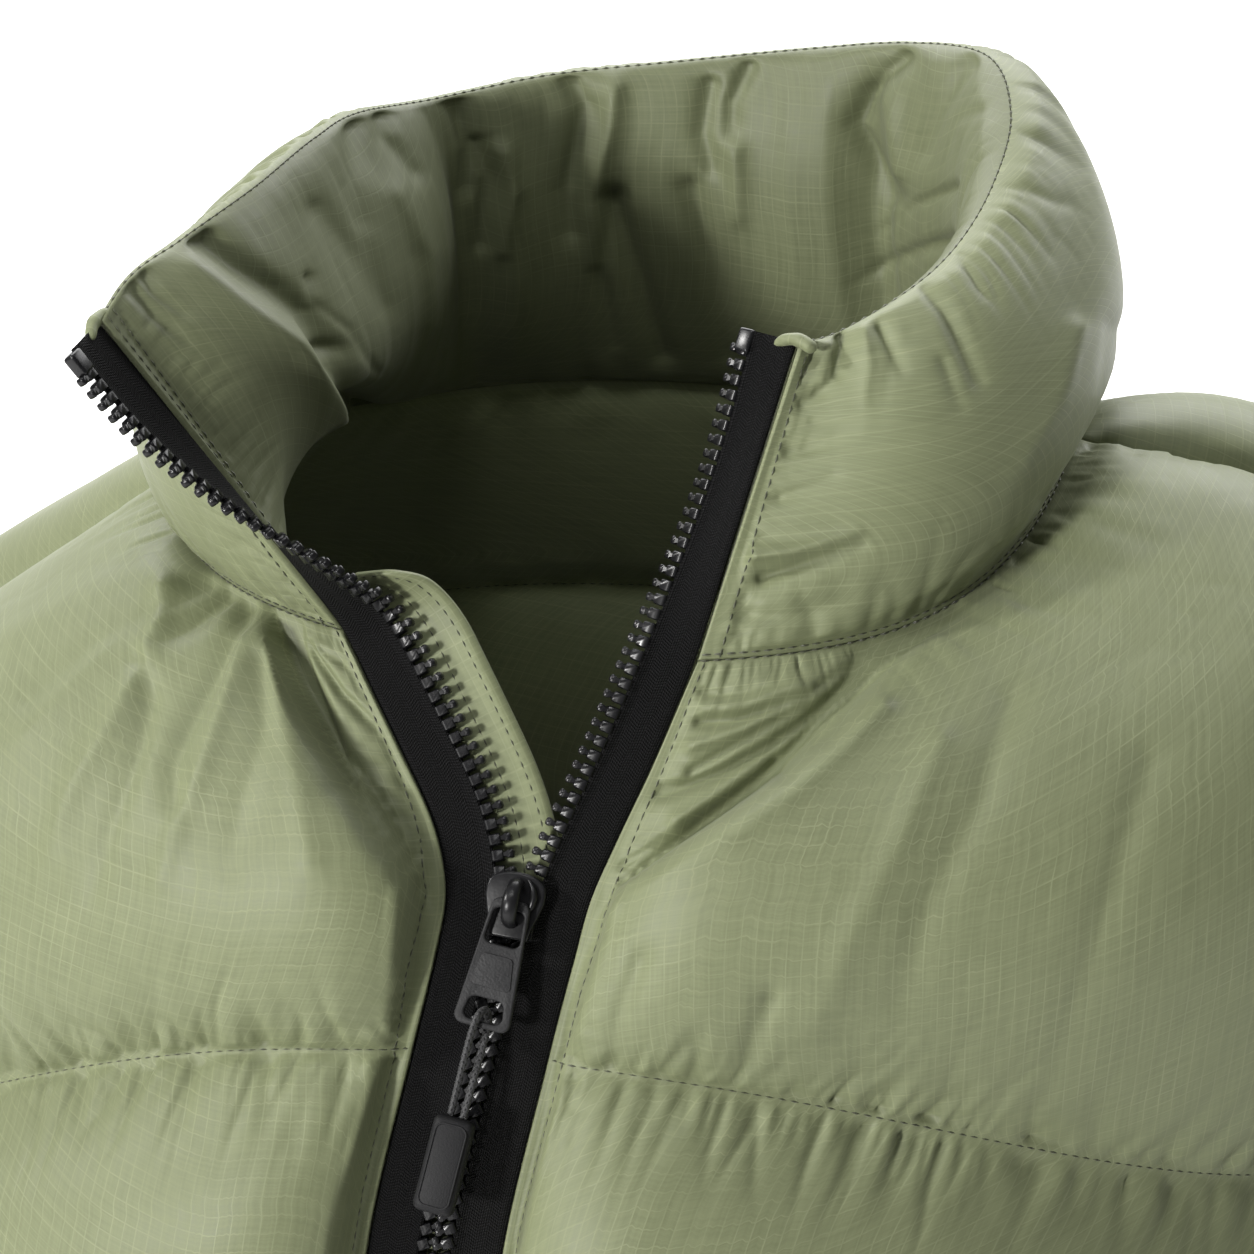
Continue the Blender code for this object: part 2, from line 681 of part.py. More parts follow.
def main():
    for obj in list(bpy.data.objects):
        bpy.data.objects.remove(obj, do_unlink=True)
    holder = bpy.data.collections.new(COLLECTION)
    bpy.context.scene.collection.children.link(holder)
    build_body()
    build_collar()
    build_sleeves()
    build_zip()
    build_slider()
    build_pull()


main()
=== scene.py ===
"""Looks of the quilted puffer jacket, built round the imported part, in millimetres until meshes are made."""
import json
import math

import bmesh
import bpy
import numpy as np
from mathutils import Matrix, Vector

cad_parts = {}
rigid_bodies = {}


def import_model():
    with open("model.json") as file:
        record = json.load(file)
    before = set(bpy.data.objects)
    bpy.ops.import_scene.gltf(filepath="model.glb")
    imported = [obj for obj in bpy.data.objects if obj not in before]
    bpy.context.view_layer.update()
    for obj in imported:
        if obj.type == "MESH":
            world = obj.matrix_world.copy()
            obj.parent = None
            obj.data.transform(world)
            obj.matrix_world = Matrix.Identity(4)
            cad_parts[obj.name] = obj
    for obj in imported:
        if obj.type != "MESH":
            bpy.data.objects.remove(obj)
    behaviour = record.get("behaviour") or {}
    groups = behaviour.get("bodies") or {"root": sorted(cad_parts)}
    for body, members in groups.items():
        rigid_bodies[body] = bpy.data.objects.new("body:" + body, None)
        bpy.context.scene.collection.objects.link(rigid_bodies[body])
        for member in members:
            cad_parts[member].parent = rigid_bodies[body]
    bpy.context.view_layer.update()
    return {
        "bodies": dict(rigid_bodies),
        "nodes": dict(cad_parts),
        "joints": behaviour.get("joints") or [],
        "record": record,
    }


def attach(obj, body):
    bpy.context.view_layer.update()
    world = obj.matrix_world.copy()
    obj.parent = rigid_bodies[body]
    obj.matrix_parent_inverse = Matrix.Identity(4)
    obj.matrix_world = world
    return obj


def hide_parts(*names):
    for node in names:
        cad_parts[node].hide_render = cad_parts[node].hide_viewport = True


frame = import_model()
dice = np.random.default_rng(7)
# The gap between neighbouring pieces, half the thickness of a seam, and the thickness of the lining.
GAP = 0.3
SEAM = 1.5
LINING = 3.0
SIDES = ((1, "left"), (-1, "right"))
X_AXIS = np.array([1.0, 0, 0])


# Rings of the body's middle surface, from the neck seam (row 0) down one baffle a row to the hem (row 7).
# row, x_mid, x_half, y_mid, y_front, y_back, z_front, z_left, z_right, z_back, flatness
RINGS = [
    (0.00, 0, 117, -12, -118, 90, 0, 16, -2, -19, 1.0),
    (0.30, -1, 162, -12, -133, 100, -26, 0, -54, -48, 0.7),
    (0.60, -3, 214, -14, -150, 108, -50, -35, -98, -82, 0.3),
    (1.00, -10, 220, -24, -166, 112, -84, -148, -170, -122, 0),
    (1.50, -19, 216, -36, -186, 116, -129, -194, -206, -166, 0),
    (2.00, -22, 210, -44, -200, 118, -177, -229, -237, -211, 0),
    (2.40, -22, 207, -46, -204, 118, -215, -260, -266, -249, 0),
    (3.00, -18, 208, -46, -205, 114, -273, -311, -316, -304, 0),
    (4.00, -11, 208, -45, -202, 106, -370, -403, -406, -397, 0),
    (5.00, -5, 206, -45, -197, 100, -468, -497, -498, -491, 0),
    (6.00, -1, 204, -45, -192, 98, -567, -590, -590, -586, 0),
    (7.00, 0, 196, -45, -182, 92, -664, -682, -682, -680, 0),
]
ROUND_X = 0.86
ROUND_Y = 0.90

# Half of the gap between the two front edges: row, wearer's left, wearer's right.
FRONT_EDGE = [
    (0.00, 36, 53),
    (0.25, 28, 35),
    (0.45, 21.5, 22.5),
    (0.58, 18, 18),
    (0.75, 17.0, 17.0),
    (0.90, 16.8, 16.8),
    (1.00, 16.8, 16.8),
    (7.00, 16.8, 16.8),
]

# Angle from the front at which a panel ends: row, degrees. 90 is the shoulder seam, then the side seam.
PANEL_END = [
    (0.60, 90),
    (0.80, 76),
    (1.10, 65),
    (1.50, 60),
    (1.90, 62),
    (2.25, 72),
    (2.50, 90),
]

# Rows of the body grid: the quilt seams are the whole numbers.
SHOULDER_ROW = 0.6
ARMPIT_ROW = 2.5
NECK_ROWS = [0.0, 0.06, 0.16, 0.30, 0.45, 0.60, 0.72, 0.86]
BAFFLE_ROWS = [0.0, 0.15, 0.50, 0.85]

# Collar stations round the neck, from the wearer's right zip (-1) by the back (0) to the left zip (1).
# station, crest x, y, z, outward puff, inward puff, bow, roundness
COLLAR = [
    (-1.00, -109, -110, 79, 1.5, 1.5, 0, 0.9),
    (-0.94, -106, -99, 84, 5, 14, 0, 0.9),
    (-0.80, -97, -78, 88, 12, 33, 2, 0.8),
    (-0.62, -86, -48, 91, 15, 38, 5, 0.8),
    (-0.46, -80, -13, 91, 16, 34, 6, 0.8),
    (-0.32, -76, 18, 87, 18, 26, 4, 0.8),
    (-0.20, -64, 52, 79, 20, 18, 0, 0.7),
    (-0.10, -36, 75, 79, 22, 14, 0, 0.6),
    (0.00, 0, 82, 82, 22, 14, 0, 0.6),
    (0.12, 36, 79, 88, 22, 14, 0, 0.6),
    (0.22, 64, 67, 95, 22, 15, 0, 0.55),
    (0.34, 89, 42, 101, 22, 17, 0, 0.5),
    (0.46, 98, 12, 96, 22, 17, 0, 0.45),
    (0.58, 96, -15, 87, 22, 17, 0, 0.45),
    (0.70, 89, -38, 79, 20, 15, 0, 0.5),
    (0.82, 78, -55, 73, 16, 12, 0, 0.5),
    (0.94, 61, -67, 66, 7, 6, 0, 0.6),
    (1.00, 55, -74, 67, 1.5, 1.5, 0, 0.7),
]

# Left sleeve: section, centre x, y, z, tilt from facing out (0) to facing down (90), half height, half depth.
SLEEVE = [
    (0.0, 216, -30, -142, 0, 98, 70),
    (1.0, 274, -32, -194, 32, 79, 71),
    (2.0, 306, -36, -258, 62, 70, 70),
    (3.0, 332, -44, -346, 71, 64, 65),
    (4.0, 352, -58, -436, 73, 59, 60),
    (5.0, 377, -76, -530, 75, 54, 55),
    (6.0, 399, -98, -626, 76, 47, 48),
]

# How far the filling lifts the cloth above its seams.
PUFF_BODY = 23.0
PUFF_SLEEVE = 13.0
LINING_PUFF = 7.5

TAPE_WIDTH = 12.6
TAPE_THICK = 1.0
CHAIN_WIDTH = 3.2
CHAIN_THICK = 2.8
GUARD_WIDTH = 36.0
GUARD_TOP = 0.10
# How far the guard reaches back under the front that carries it.
GUARD_BACK = 8
# How far a tape turns in from the collar's surface: place on the zip, wearer's left, wearer's right, degrees.
TAPE_TURN = [
    (-0.10, 0, 0),
    (0.15, 35, 0),
    (0.45, 58, -15),
    (0.75, 70, -10),
    (1.00, 76, 12),
]
SLIDER_ROW = 0.625
SLIDER_LIFT = CHAIN_THICK / 2 + 0.7
BOX_TOP = 6.87

# The pull: a pin under the slider's bail, a tab with two windows, a cord loop and a moulded end.
PLATE = 2.2
PIN = 1.8
PIN_LIFT = 1.5
PULL_LEAN = -4.0
CORD_THICK = 1.9
# Route of the cord's middle in the pull's own frame: across, up, out.
CORD_ROUTE = [
    (-1.6, -52.6, 0.6),
    (-1.6, -44.0, 1.0),
    (-1.5, -37.0, 1.9),
    (-1.3, -31.0, 2.3),
    (-0.9, -27.8, 1.9),
    (0.0, -26.3, 0.0),
    (0.9, -27.8, -1.9),
    (1.3, -31.0, -2.2),
    (1.5, -37.0, -1.2),
    (1.6, -44.0, 0.0),
    (1.6, -52.6, 0.6),
]


def track(table, at):
    """Smooth curve through a table whose first column is the key."""
    rows = np.asarray(table, float)
    key, value = rows[:, 0], rows[:, 1:]
    step = np.diff(key)[:, None]
    slope = np.diff(value, axis=0) / step
    inner = (slope[:-1] * step[1:] + slope[1:] * step[:-1]) / (step[:-1] + step[1:])
    rate = np.vstack([slope[:1], inner, slope[-1:]])
    at = np.clip(np.asarray(at, float), key[0], key[-1])
    i = np.clip(np.searchsorted(key, at, side="right") - 1, 0, len(key) - 2)
    span = (key[i + 1] - key[i])[..., None]
    t = (at - key[i])[..., None] / span
    rise = t * t * (3 - 2 * t)
    start = t * (1 - t) ** 2 * span * rate[i]
    end = t * t * (t - 1) * span * rate[i + 1]
    return value[i] * (1 - rise) + value[i + 1] * rise + start + end


def unit(v):
    return v / np.maximum(np.linalg.norm(v, axis=-1, keepdims=True), 1e-9)


def torso(theta, row):
    """Point of the body's middle surface at an angle from the front and a row."""
    theta, row = np.broadcast_arrays(np.asarray(theta, float), np.asarray(row, float))
    ring = track(RINGS, row)
    x_mid, x_half, y_mid, y_front, y_back, z_front, z_left, z_right, z_back, flat = np.moveaxis(ring, -1, 0)
    s, c = np.sin(np.radians(theta)), np.cos(np.radians(theta))
    x = x_mid * np.maximum(c, 0) ** 2 + x_half * np.sign(s) * np.abs(s) ** ROUND_X
    y_end = np.where(c > 0, y_front, y_back)
    y = y_mid + (y_end - y_mid) * np.abs(c) ** ROUND_Y
    z_side = np.where(s > 0, z_left, z_right)
    z_end = np.where(c > 0, z_front, z_back)
    share = (1 - flat) * np.abs(c) ** 3 + flat * (1 - (1 - c * c) ** 3.5)
    z = z_side + (z_end - z_side) * share
    return np.stack([x, y, z], axis=-1)


def torso_normal(theta, row):
    low, high = np.clip(np.asarray(row, float) - 0.02, 0, 7), np.clip(np.asarray(row, float) + 0.02, 0, 7)
    down = torso(theta, high) - torso(theta, low)
    side = torso(np.asarray(theta) + 1.0, row) - torso(np.asarray(theta) - 1.0, row)
    return unit(np.cross(down, side))


def edge_angle(row, side):
    """Angle of a front edge: side is 1 for the wearer's left, -1 for the right."""
    half = track(FRONT_EDGE, row)[..., 0 if side > 0 else 1]
    x_half = track(RINGS, row)[..., 1]
    return np.degrees(np.arcsin((half / x_half) ** (1 / ROUND_X)))


def panel_end(row):
    row = np.asarray(row, float)
    end = track(PANEL_END, row)[..., 0]
    return np.where((row <= SHOULDER_ROW) | (row >= ARMPIT_ROW), 90.0, end)


def pinch(distance, reach):
    """Rises from 0 at a seam to 1 a reach away from it, steeply at first, as filled cloth does."""
    t = 1 - np.clip(distance / reach, 0, 1)
    return np.sqrt(np.clip(1 - t * t, 0, 1))


def arc(points, axis):
    """Distance along the lines of a grid."""
    step = np.linalg.norm(np.diff(points, axis=axis), axis=-1)
    total = np.cumsum(step, axis=axis)
    start = np.zeros_like(np.take(total, [0], axis=axis))
    return np.concatenate([start, total], axis=axis)


def from_sides(points):
    """Distance along the rows of a grid to the nearer of its two sides."""
    along = arc(points, 1)
    return np.minimum(along, along[:, -1:] - along)


def read_between(at, keys, values):
    """Points read at places between their keys."""
    return np.stack([np.interp(at, keys, values[:, k]) for k in range(3)], axis=-1)


def body_rows():
    rows = list(NECK_ROWS)
    for baffle in range(1, 7):
        rows += [baffle + r for r in BAFFLE_ROWS]
    return np.array(rows + [7.0])


def shrink(points):
    """Draw a panel's border in by half the gap, so that neighbours stay apart at their seams."""
    out = points.copy()
    out[0] += square_to(points[0], points[1] - points[0])
    out[-1] += square_to(points[-1], points[-2] - points[-1])
    out[:, 0] += square_to(points[:, 0], points[:, 1] - points[:, 0])
    out[:, -1] += square_to(points[:, -1], points[:, -2] - points[:, -1])
    return out


def square_to(line, inward):
    """Half a gap from a border line towards its panel, square to the line."""
    along = unit(np.gradient(line, axis=0))
    return unit(inward - along * np.sum(inward * along, axis=-1, keepdims=True)) * GAP / 2


def collar_angle(station):
    station = np.asarray(station, float)
    left, right = edge_angle(0.0, 1), edge_angle(0.0, -1)
    return 180 - np.where(station > 0, station * (180 - left), station * (180 - right))


def collar_middle(station, row):
    """Middle surface of the stand collar: row 0 is the neck seam, row 1 the crest."""
    station, row = np.broadcast_arrays(np.asarray(station, float), np.asarray(row, float))
    base = torso(collar_angle(station), 0.0)
    crest = track(COLLAR, station)[..., :3]
    bow = track(COLLAR, station)[..., 5]
    straight = base + (crest - base) * row[..., None]
    ahead = torso(collar_angle(station + 0.01), 0.0) - torso(collar_angle(station - 0.01), 0.0)
    out = unit(np.cross(crest - base, ahead))
    return straight + out * (bow * np.sin(np.pi * row))[..., None]


def collar_normal(station, row):
    lower, upper = np.clip(np.asarray(row, float) - 0.05, 0, 1), np.clip(np.asarray(row, float) + 0.05, 0, 1)
    before, after = np.clip(np.asarray(station) - 0.01, -1, 1), np.clip(np.asarray(station) + 0.01, -1, 1)
    up = collar_middle(station, upper) - collar_middle(station, lower)
    ahead = collar_middle(after, row) - collar_middle(before, row)
    return unit(np.cross(up, ahead))


def neck_normal(theta):
    """Mitre direction shared by the collar and the body at the neck seam."""
    return unit(torso_normal(theta, 0.0) + collar_normal(station_at(theta), 0.0))


def station_at(theta):
    """Collar station above an angle of the neck seam."""
    turned = np.where(np.asarray(theta) < 0, np.asarray(theta) + 360, theta)
    left, right = edge_angle(0.0, 1), edge_angle(0.0, -1)
    station = np.where(turned <= 180, (180 - turned) / (180 - left), (180 - turned) / (180 - right))
    return np.clip(station, -1, 1)


def sleeve_ring(section, angle):
    """Point of the left sleeve's middle surface: angle 0 is the top, 90 the front."""
    cx, cy, cz, tilt, high, deep = np.moveaxis(track(SLEEVE, section), -1, 0)
    tilt = np.radians(tilt)
    c, s = np.cos(np.radians(angle)), np.sin(np.radians(angle))
    x = cx + high * c * np.sin(tilt)
    y = cy - deep * s
    z = cz + high * c * np.cos(tilt)
    return np.stack([x, y, z], axis=-1)


def armhole(side):
    """Armhole seam on the panels' own rows: points, normals and angle round the sleeve from the top."""
    rows = body_rows()
    rows = rows[(rows >= SHOULDER_ROW) & (rows <= ARMPIT_ROW)]
    around = np.concatenate([rows, rows[-2:0:-1]])
    front = np.arange(len(around)) < len(rows)
    theta = np.where(front, panel_end(around), 180 - panel_end(around)) * side
    points = torso(theta, around)
    step = arc(np.concatenate([points, points[:1]]), 0)
    lowest = step[len(rows) - 1]
    ahead = 180 * step[:-1] / lowest
    behind = 180 + 180 * (step[:-1] - lowest) / (step[-1] - lowest)
    return points, torso_normal(theta, around), np.where(front, ahead, behind)


def edge_point(side, at):
    """Point of a front edge: at runs from -7 at the hem by 0 at the neck seam to 1 at the crest."""
    at = np.asarray(at, float)
    row = np.clip(-at, 0, 7)
    body = torso(edge_angle(row, side) * side, row)
    return np.where(at[:, None] <= 0, body, collar_middle(float(side), np.clip(at, 0, 1)))


def zip_edge(side, at):
    """Line of one front edge, the direction its tape goes and the outward normal."""
    at = np.asarray(at, float)
    row = np.clip(-at, 0, 7)
    theta = edge_angle(row, side) * side
    body_away = unit(torso(theta, row) - torso(theta + 2.0 * side, row))
    climb = np.clip(at, 0, 1)
    stand_away = unit(collar_middle(float(side), climb) - collar_middle(side * 0.965, climb))
    share = np.clip((at + 0.10) / 0.45, 0, 1)[:, None]
    share = share * share * (3 - 2 * share)
    line = edge_point(side, at)
    along = unit(edge_point(side, np.clip(at + 0.02, -7, 1)) - edge_point(side, np.clip(at - 0.02, -7, 1)))
    away = body_away * (1 - share) + stand_away * share
    away = unit(away - along * np.sum(away * along, axis=-1, keepdims=True))
    normal = unit(np.cross(along, away)) * side
    places, left, right = np.array(TAPE_TURN).T
    turn = np.radians(np.interp(at, places, left if side > 0 else right))[:, None]
    line = line + away * np.abs(np.sin(turn)) * TAPE_THICK / 2
    away, normal = away * np.cos(turn) - normal * np.sin(turn), normal * np.cos(turn) + away * np.sin(turn)
    return line, away, normal


def placement(origin, across, along, normal):
    """Frame with X across, Y along and Z out of the cloth."""
    turn = Matrix((across, along, normal)).transposed().to_4x4()
    turn.translation = Vector(origin)
    return turn


def chain_middle(row):
    middle = GAP + TAPE_WIDTH + GAP + CHAIN_WIDTH / 2
    at = np.array([-row])
    halves = [zip_edge(side, at)[0] + zip_edge(side, at)[1] * middle for side in (1, -1)]
    return (halves[0] + halves[1])[0] / 2


def chain_frame(row):
    """Placement on the closed chain: X across, Y up along the chain and Z out."""
    up = unit(chain_middle(row - 0.06) - chain_middle(row + 0.06))
    across = unit(X_AXIS - up * up[0])
    return placement(chain_middle(row), across, up, np.cross(across, up))


def axes_of(at):
    """The X, Y and Z directions of a placement."""
    return [np.array(at.col[k][:3]) for k in range(3)]


def pull_frame():
    """Placement of the pull: its origin is the middle of the pin that turns under the bail."""
    at = chain_frame(SLIDER_ROW)
    lean = Matrix.Rotation(math.radians(PULL_LEAN), 4, "Z")
    return at @ Matrix.Translation((0, 0.6, SLIDER_LIFT + PLATE + PIN_LIFT)) @ lean


# ---------------------------------------------------------------- helpers


def lines(*spans):
    """Grid values from spans of (start, end, count)."""
    parts = [np.linspace(a, b, n, endpoint=False) for a, b, n in spans]
    return np.concatenate(parts + [[spans[-1][1]]])


def finer(values, axis):
    """Twice as many grid lines along an axis, on a smooth curve through the old ones."""
    v = np.moveaxis(values, axis, 0)
    ends = np.concatenate([2 * v[:1] - v[1:2], v, 2 * v[-1:] - v[-2:-1]])
    middle = (9 * (ends[1:-2] + ends[2:-1]) - ends[:-3] - ends[3:]) / 16
    out = np.empty((len(v) * 2 - 1,) + v.shape[1:])
    out[0::2] = v
    out[1::2] = middle
    return np.moveaxis(out, 0, axis)


def noise(shape, smooth_rows, smooth_columns):
    """Seeded random field, smoothed over a number of grid lines each way, mostly -1 to 1."""
    field = dice.standard_normal(shape)
    for axis, size in ((0, smooth_rows), (1, smooth_columns)):
        if size < 0.5:
            continue
        reach = int(size * 3) + 1
        kernel = np.exp(-0.5 * (np.arange(-reach, reach + 1) / size) ** 2)
        kernel /= np.sqrt(np.sum(kernel**2))
        padded = np.pad(field, [(reach, reach) if a == axis else (0, 0) for a in (0, 1)], mode="reflect")
        field = np.apply_along_axis(lambda line: np.convolve(line, kernel, mode="valid"), axis, padded)
    return np.clip(field / 1.6, -1.6, 1.6)


def spans(x, axis):
    return np.linalg.norm(np.diff(x, axis=axis), axis=-1)


def add_object(name, data):
    obj = bpy.data.objects.new(name, data)
    bpy.context.scene.collection.objects.link(obj)
    return obj


def grid_mesh(name, points, cut, flip=False):
    """Mesh of a grid of points in millimetres, with its cut pattern in metres as UVs."""
    rows, columns = points.shape[:2]
    i, j = np.meshgrid(np.arange(rows - 1), np.arange(columns - 1), indexing="ij")
    corner = i * columns + j
    quads = np.stack([corner, corner + 1, corner + columns + 1, corner + columns], axis=-1)
    if flip:
        quads = quads[..., ::-1]
    quads = quads.reshape(-1, 4)
    return raw_mesh(name, points.reshape(-1, 3), quads, cut.reshape(-1, 2)[quads].reshape(-1, 2))


def raw_mesh(name, vertices, polygons, uv=None):
    mesh = bpy.data.meshes.new(name)
    count, corners = polygons.shape
    mesh.vertices.add(len(vertices))
    mesh.vertices.foreach_set("co", (np.asarray(vertices, np.float32) * 0.001).ravel())
    mesh.loops.add(count * corners)
    mesh.loops.foreach_set("vertex_index", polygons.astype(np.int32).ravel())
    mesh.polygons.add(count)
    mesh.polygons.foreach_set("loop_start", np.arange(0, count * corners, corners, dtype=np.int32))
    if uv is not None:
        layer = mesh.uv_layers.new(name="cut")
        layer.uv.foreach_set("vector", np.asarray(uv, np.float32).ravel())
    mesh.update(calc_edges=True)
    mesh.validate()
    mesh.polygons.foreach_set("use_smooth", np.ones(len(mesh.polygons), bool))
    return add_object(name, mesh)


def together(solids):
    """Vertices and polygons of many solids as one."""
    vertices, polygons, count = [], [], 0
    for v, q in solids:
        vertices.append(v)
        polygons.append(q + count)
        count += len(v)
    return np.concatenate(vertices), np.concatenate(polygons)


def ring_faces(rings, around):
    """Quads of a solid made of rings of points, numbered ring by ring, with flat ends."""
    quads = []
    for r in range(rings - 1):
        for k in range(around):
            m = (k + 1) % around
            quads.append((r * around + k, r * around + m, (r + 1) * around + m, (r + 1) * around + k))
    for level, order in ((0, -1), (rings - 1, 1)):
        for k in range(around // 2 - 1):
            face = (k, k + 1, around - 2 - k, around - 1 - k)[::order]
            quads.append(tuple(level * around + v for v in face))
    return np.array(quads)


# ---------------------------------------------------------------- materials


class Shader:
    """Small helper that adds nodes to a new material."""

    def __init__(self, name):
        self.material = bpy.data.materials.new(name)
        self.material.use_nodes = True
        self.tree = self.material.node_tree
        self.surface = self.tree.nodes["Principled BSDF"]

    def node(self, kind, **values):
        made = self.tree.nodes.new(kind)
        for key, value in values.items():
            if key.startswith("in_"):
                made.inputs[int(key[3:])].default_value = value
            else:
                setattr(made, key, value)
        return made

    def link(self, out, into):
        self.tree.links.new(out, into)

    def maths(self, operation, a, b=None, c=None):
        made = self.node("ShaderNodeMath", operation=operation)
        for slot, value in enumerate((a, b, c)):
            if value is None:
                continue
            if isinstance(value, (int, float)):
                made.inputs[slot].default_value = value
            else:
                self.link(value, made.inputs[slot])
        return made.outputs[0]

    def mix(self, factor, a, b):
        made = self.node("ShaderNodeMix", data_type="RGBA")
        for slot, value in ((0, factor), (6, a), (7, b)):
            if isinstance(value, tuple):
                made.inputs[slot].default_value = (*value, 1)
            elif isinstance(value, (int, float)):
                made.inputs[slot].default_value = value
            else:
                self.link(value, made.inputs[slot])
        return made.outputs[2]

    def cloud(self, vector, scale, detail):
        made = self.node("ShaderNodeTexNoise", in_2=scale, in_3=detail)
        self.link(vector, made.inputs["Vector"])
        return made.outputs["Fac"]

    def ranged(self, value, low, high, to_low=0.0, to_high=1.0, **kind):
        made = self.node("ShaderNodeMapRange", in_1=low, in_2=high, in_3=to_low, in_4=to_high, **kind)
        self.link(value, made.inputs[0])
        return made.outputs[0]

    def into(self, name, value):
        """Sets or links one input of the surface."""
        if isinstance(value, (int, float, tuple)):
            self.surface.inputs[name].default_value = value
        else:
            self.link(value, self.surface.inputs[name])

    def raise_by(self, height, strength, distance):
        """Adds the relief, and gives the finished material."""
        bump = self.node("ShaderNodeBump", in_0=strength, in_1=distance)
        self.link(height, bump.inputs["Height"])
        self.into("Normal", bump.outputs[0])
        return self.material


def ripstop(name, ground, thread, dark):
    """Ripstop nylon: a fine weave with a thicker thread every few millimetres, read from the cut pattern."""
    s = Shader(name)
    cut = s.node("ShaderNodeUVMap", uv_map="cut").outputs[0]
    wander = s.node("ShaderNodeTexNoise", in_2=38.0, in_3=2.0, in_4=0.5)
    s.link(cut, wander.inputs["Vector"])
    shift = s.node("ShaderNodeVectorMath", operation="MULTIPLY_ADD")
    s.link(wander.outputs["Color"], shift.inputs[0])
    shift.inputs[1].default_value = (0.0009, 0.0009, 0)
    s.link(cut, shift.inputs[2])
    split = s.node("ShaderNodeSeparateXYZ")
    s.link(shift.outputs[0], split.inputs[0])
    masks = []
    for axis, pitch in ((0, RIP_ACROSS), (1, RIP_DOWN)):
        turns = s.maths("MULTIPLY", split.outputs[axis], 1000 / pitch)
        place = s.maths("ABSOLUTE", s.maths("SUBTRACT", s.maths("FRACT", turns), 0.5))
        wide = RIP_WIDTH / pitch
        masks.append(s.ranged(place, wide, 0.25 * wide, interpolation_type="SMOOTHSTEP"))
    fade = s.ranged(s.cloud(cut, 60.0, 3.0), 0.32, 0.72, 0.12, 0.55)
    grid = s.maths("MULTIPLY", s.maths("MAXIMUM", masks[0], masks[1]), fade)
    threads = []
    for stretch in ((900, 45, 1), (60, 1400, 1)):
        drawn = s.node("ShaderNodeMapping", in_3=stretch)
        s.link(cut, drawn.inputs[0])
        threads.append(s.cloud(drawn.outputs[0], 1.0, 3.0))
    weave = s.maths("ADD", *threads)
    body = s.mix(s.ranged(weave, 0.75, 1.25), dark, ground)
    s.into("Base Color", s.mix(grid, body, thread))
    s.into("Roughness", s.ranged(weave, 0.7, 1.3, 0.46, 0.6))
    s.into("Specular IOR Level", 0.36)
    s.into("Sheen Weight", 0.07)
    s.into("Sheen Roughness", 0.45)
    return s.raise_by(s.maths("MULTIPLY_ADD", grid, 0.5, s.maths("MULTIPLY", weave, 0.16)), 0.35, 0.0002)


def woven(name, colour, light):
    """Black zip tape: a fine herringbone weave."""
    s = Shader(name)
    cut = s.node("ShaderNodeUVMap", uv_map="cut").outputs[0]
    split = s.node("ShaderNodeSeparateXYZ")
    s.link(cut, split.inputs[0])
    across = s.maths("MULTIPLY", split.outputs[0], 1000 / 0.55)
    tooth = s.maths("PINGPONG", s.maths("MULTIPLY", split.outputs[0], 1000 / 2.4), 1.0)
    down = s.maths("ADD", s.maths("MULTIPLY", split.outputs[1], 1000 / 0.75), s.maths("MULTIPLY", tooth, 1.6))
    thread = s.maths("MULTIPLY", s.maths("SINE", s.maths("MULTIPLY", down, math.tau)), 0.5)
    rib = s.maths("MULTIPLY", s.maths("SINE", s.maths("MULTIPLY", across, math.tau)), 0.35)
    height = s.maths("ADD", s.maths("ADD", thread, rib), s.cloud(cut, 1500.0, 3.0))
    s.into("Base Color", s.mix(s.ranged(height, 0.3, 1.3), colour, light))
    s.into("Roughness", 0.7)
    s.into("Specular IOR Level", 0.14)
    return s.raise_by(height, 0.9, 0.0003)


def moulded(name, colour, light, rough, scale, depth, shine):
    """Moulded or painted black: a pebbled grain, read in the part's own frame."""
    s = Shader(name)
    place = s.node("ShaderNodeTexCoord").outputs["Object"]
    cells = s.node("ShaderNodeTexVoronoi", in_2=scale, feature="SMOOTH_F1")
    s.link(place, cells.inputs["Vector"])
    cloud = s.cloud(place, scale * 0.35, 4.0)
    s.into("Base Color", s.mix(cloud, colour, light))
    s.into("Roughness", s.ranged(cloud, 0.0, 1.0, rough - 0.06, rough + 0.08))
    s.into("Specular IOR Level", shine)
    return s.raise_by(cells.outputs["Distance"], 0.6, depth)


def thread(name, colour, light):
    """Twisted sewing thread."""
    s = Shader(name)
    cloud = s.cloud(s.node("ShaderNodeTexCoord").outputs["Object"], 2600.0, 2.0)
    s.into("Base Color", s.mix(cloud, colour, light))
    s.into("Roughness", 0.55)
    s.into("Sheen Weight", 0.2)
    return s.raise_by(cloud, 0.5, 0.0001)


# The thicker threads' spacing across and down the cloth, and their width.
RIP_ACROSS = 3.6
RIP_DOWN = 4.6
RIP_WIDTH = 0.27
SHELL = ripstop("shell_cloth", (0.205, 0.228, 0.124), (0.285, 0.312, 0.178), (0.170, 0.190, 0.102))
# The facing is the shell cloth's colours darkened by about a quarter: painted shade on the collar's inside.
FACING_PAINTED_SHADE = ripstop("facing_cloth_painted_shade", (0.152, 0.169, 0.091), (0.205, 0.226, 0.127), (0.126, 0.141, 0.075))
# The lining is the shell cloth's colours made about a tenth lighter: painted light on the jacket's dim
# insides.
LINING_PAINTED_LIGHT = ripstop("lining_cloth_painted_light", (0.225, 0.250, 0.136), (0.30, 0.328, 0.188), (0.187, 0.209, 0.112))
TAPE = woven("zip_tape_weave", (0.002, 0.002, 0.002), (0.014, 0.014, 0.015))
TOOTH = moulded("zip_tooth_plastic", (0.004, 0.004, 0.005), (0.009, 0.009, 0.010), 0.27, 900, 0.00002, 0.4)
METAL = moulded("slider_enamel", (0.007, 0.007, 0.008), (0.012, 0.012, 0.013), 0.30, 1500, 0.00002, 0.3)
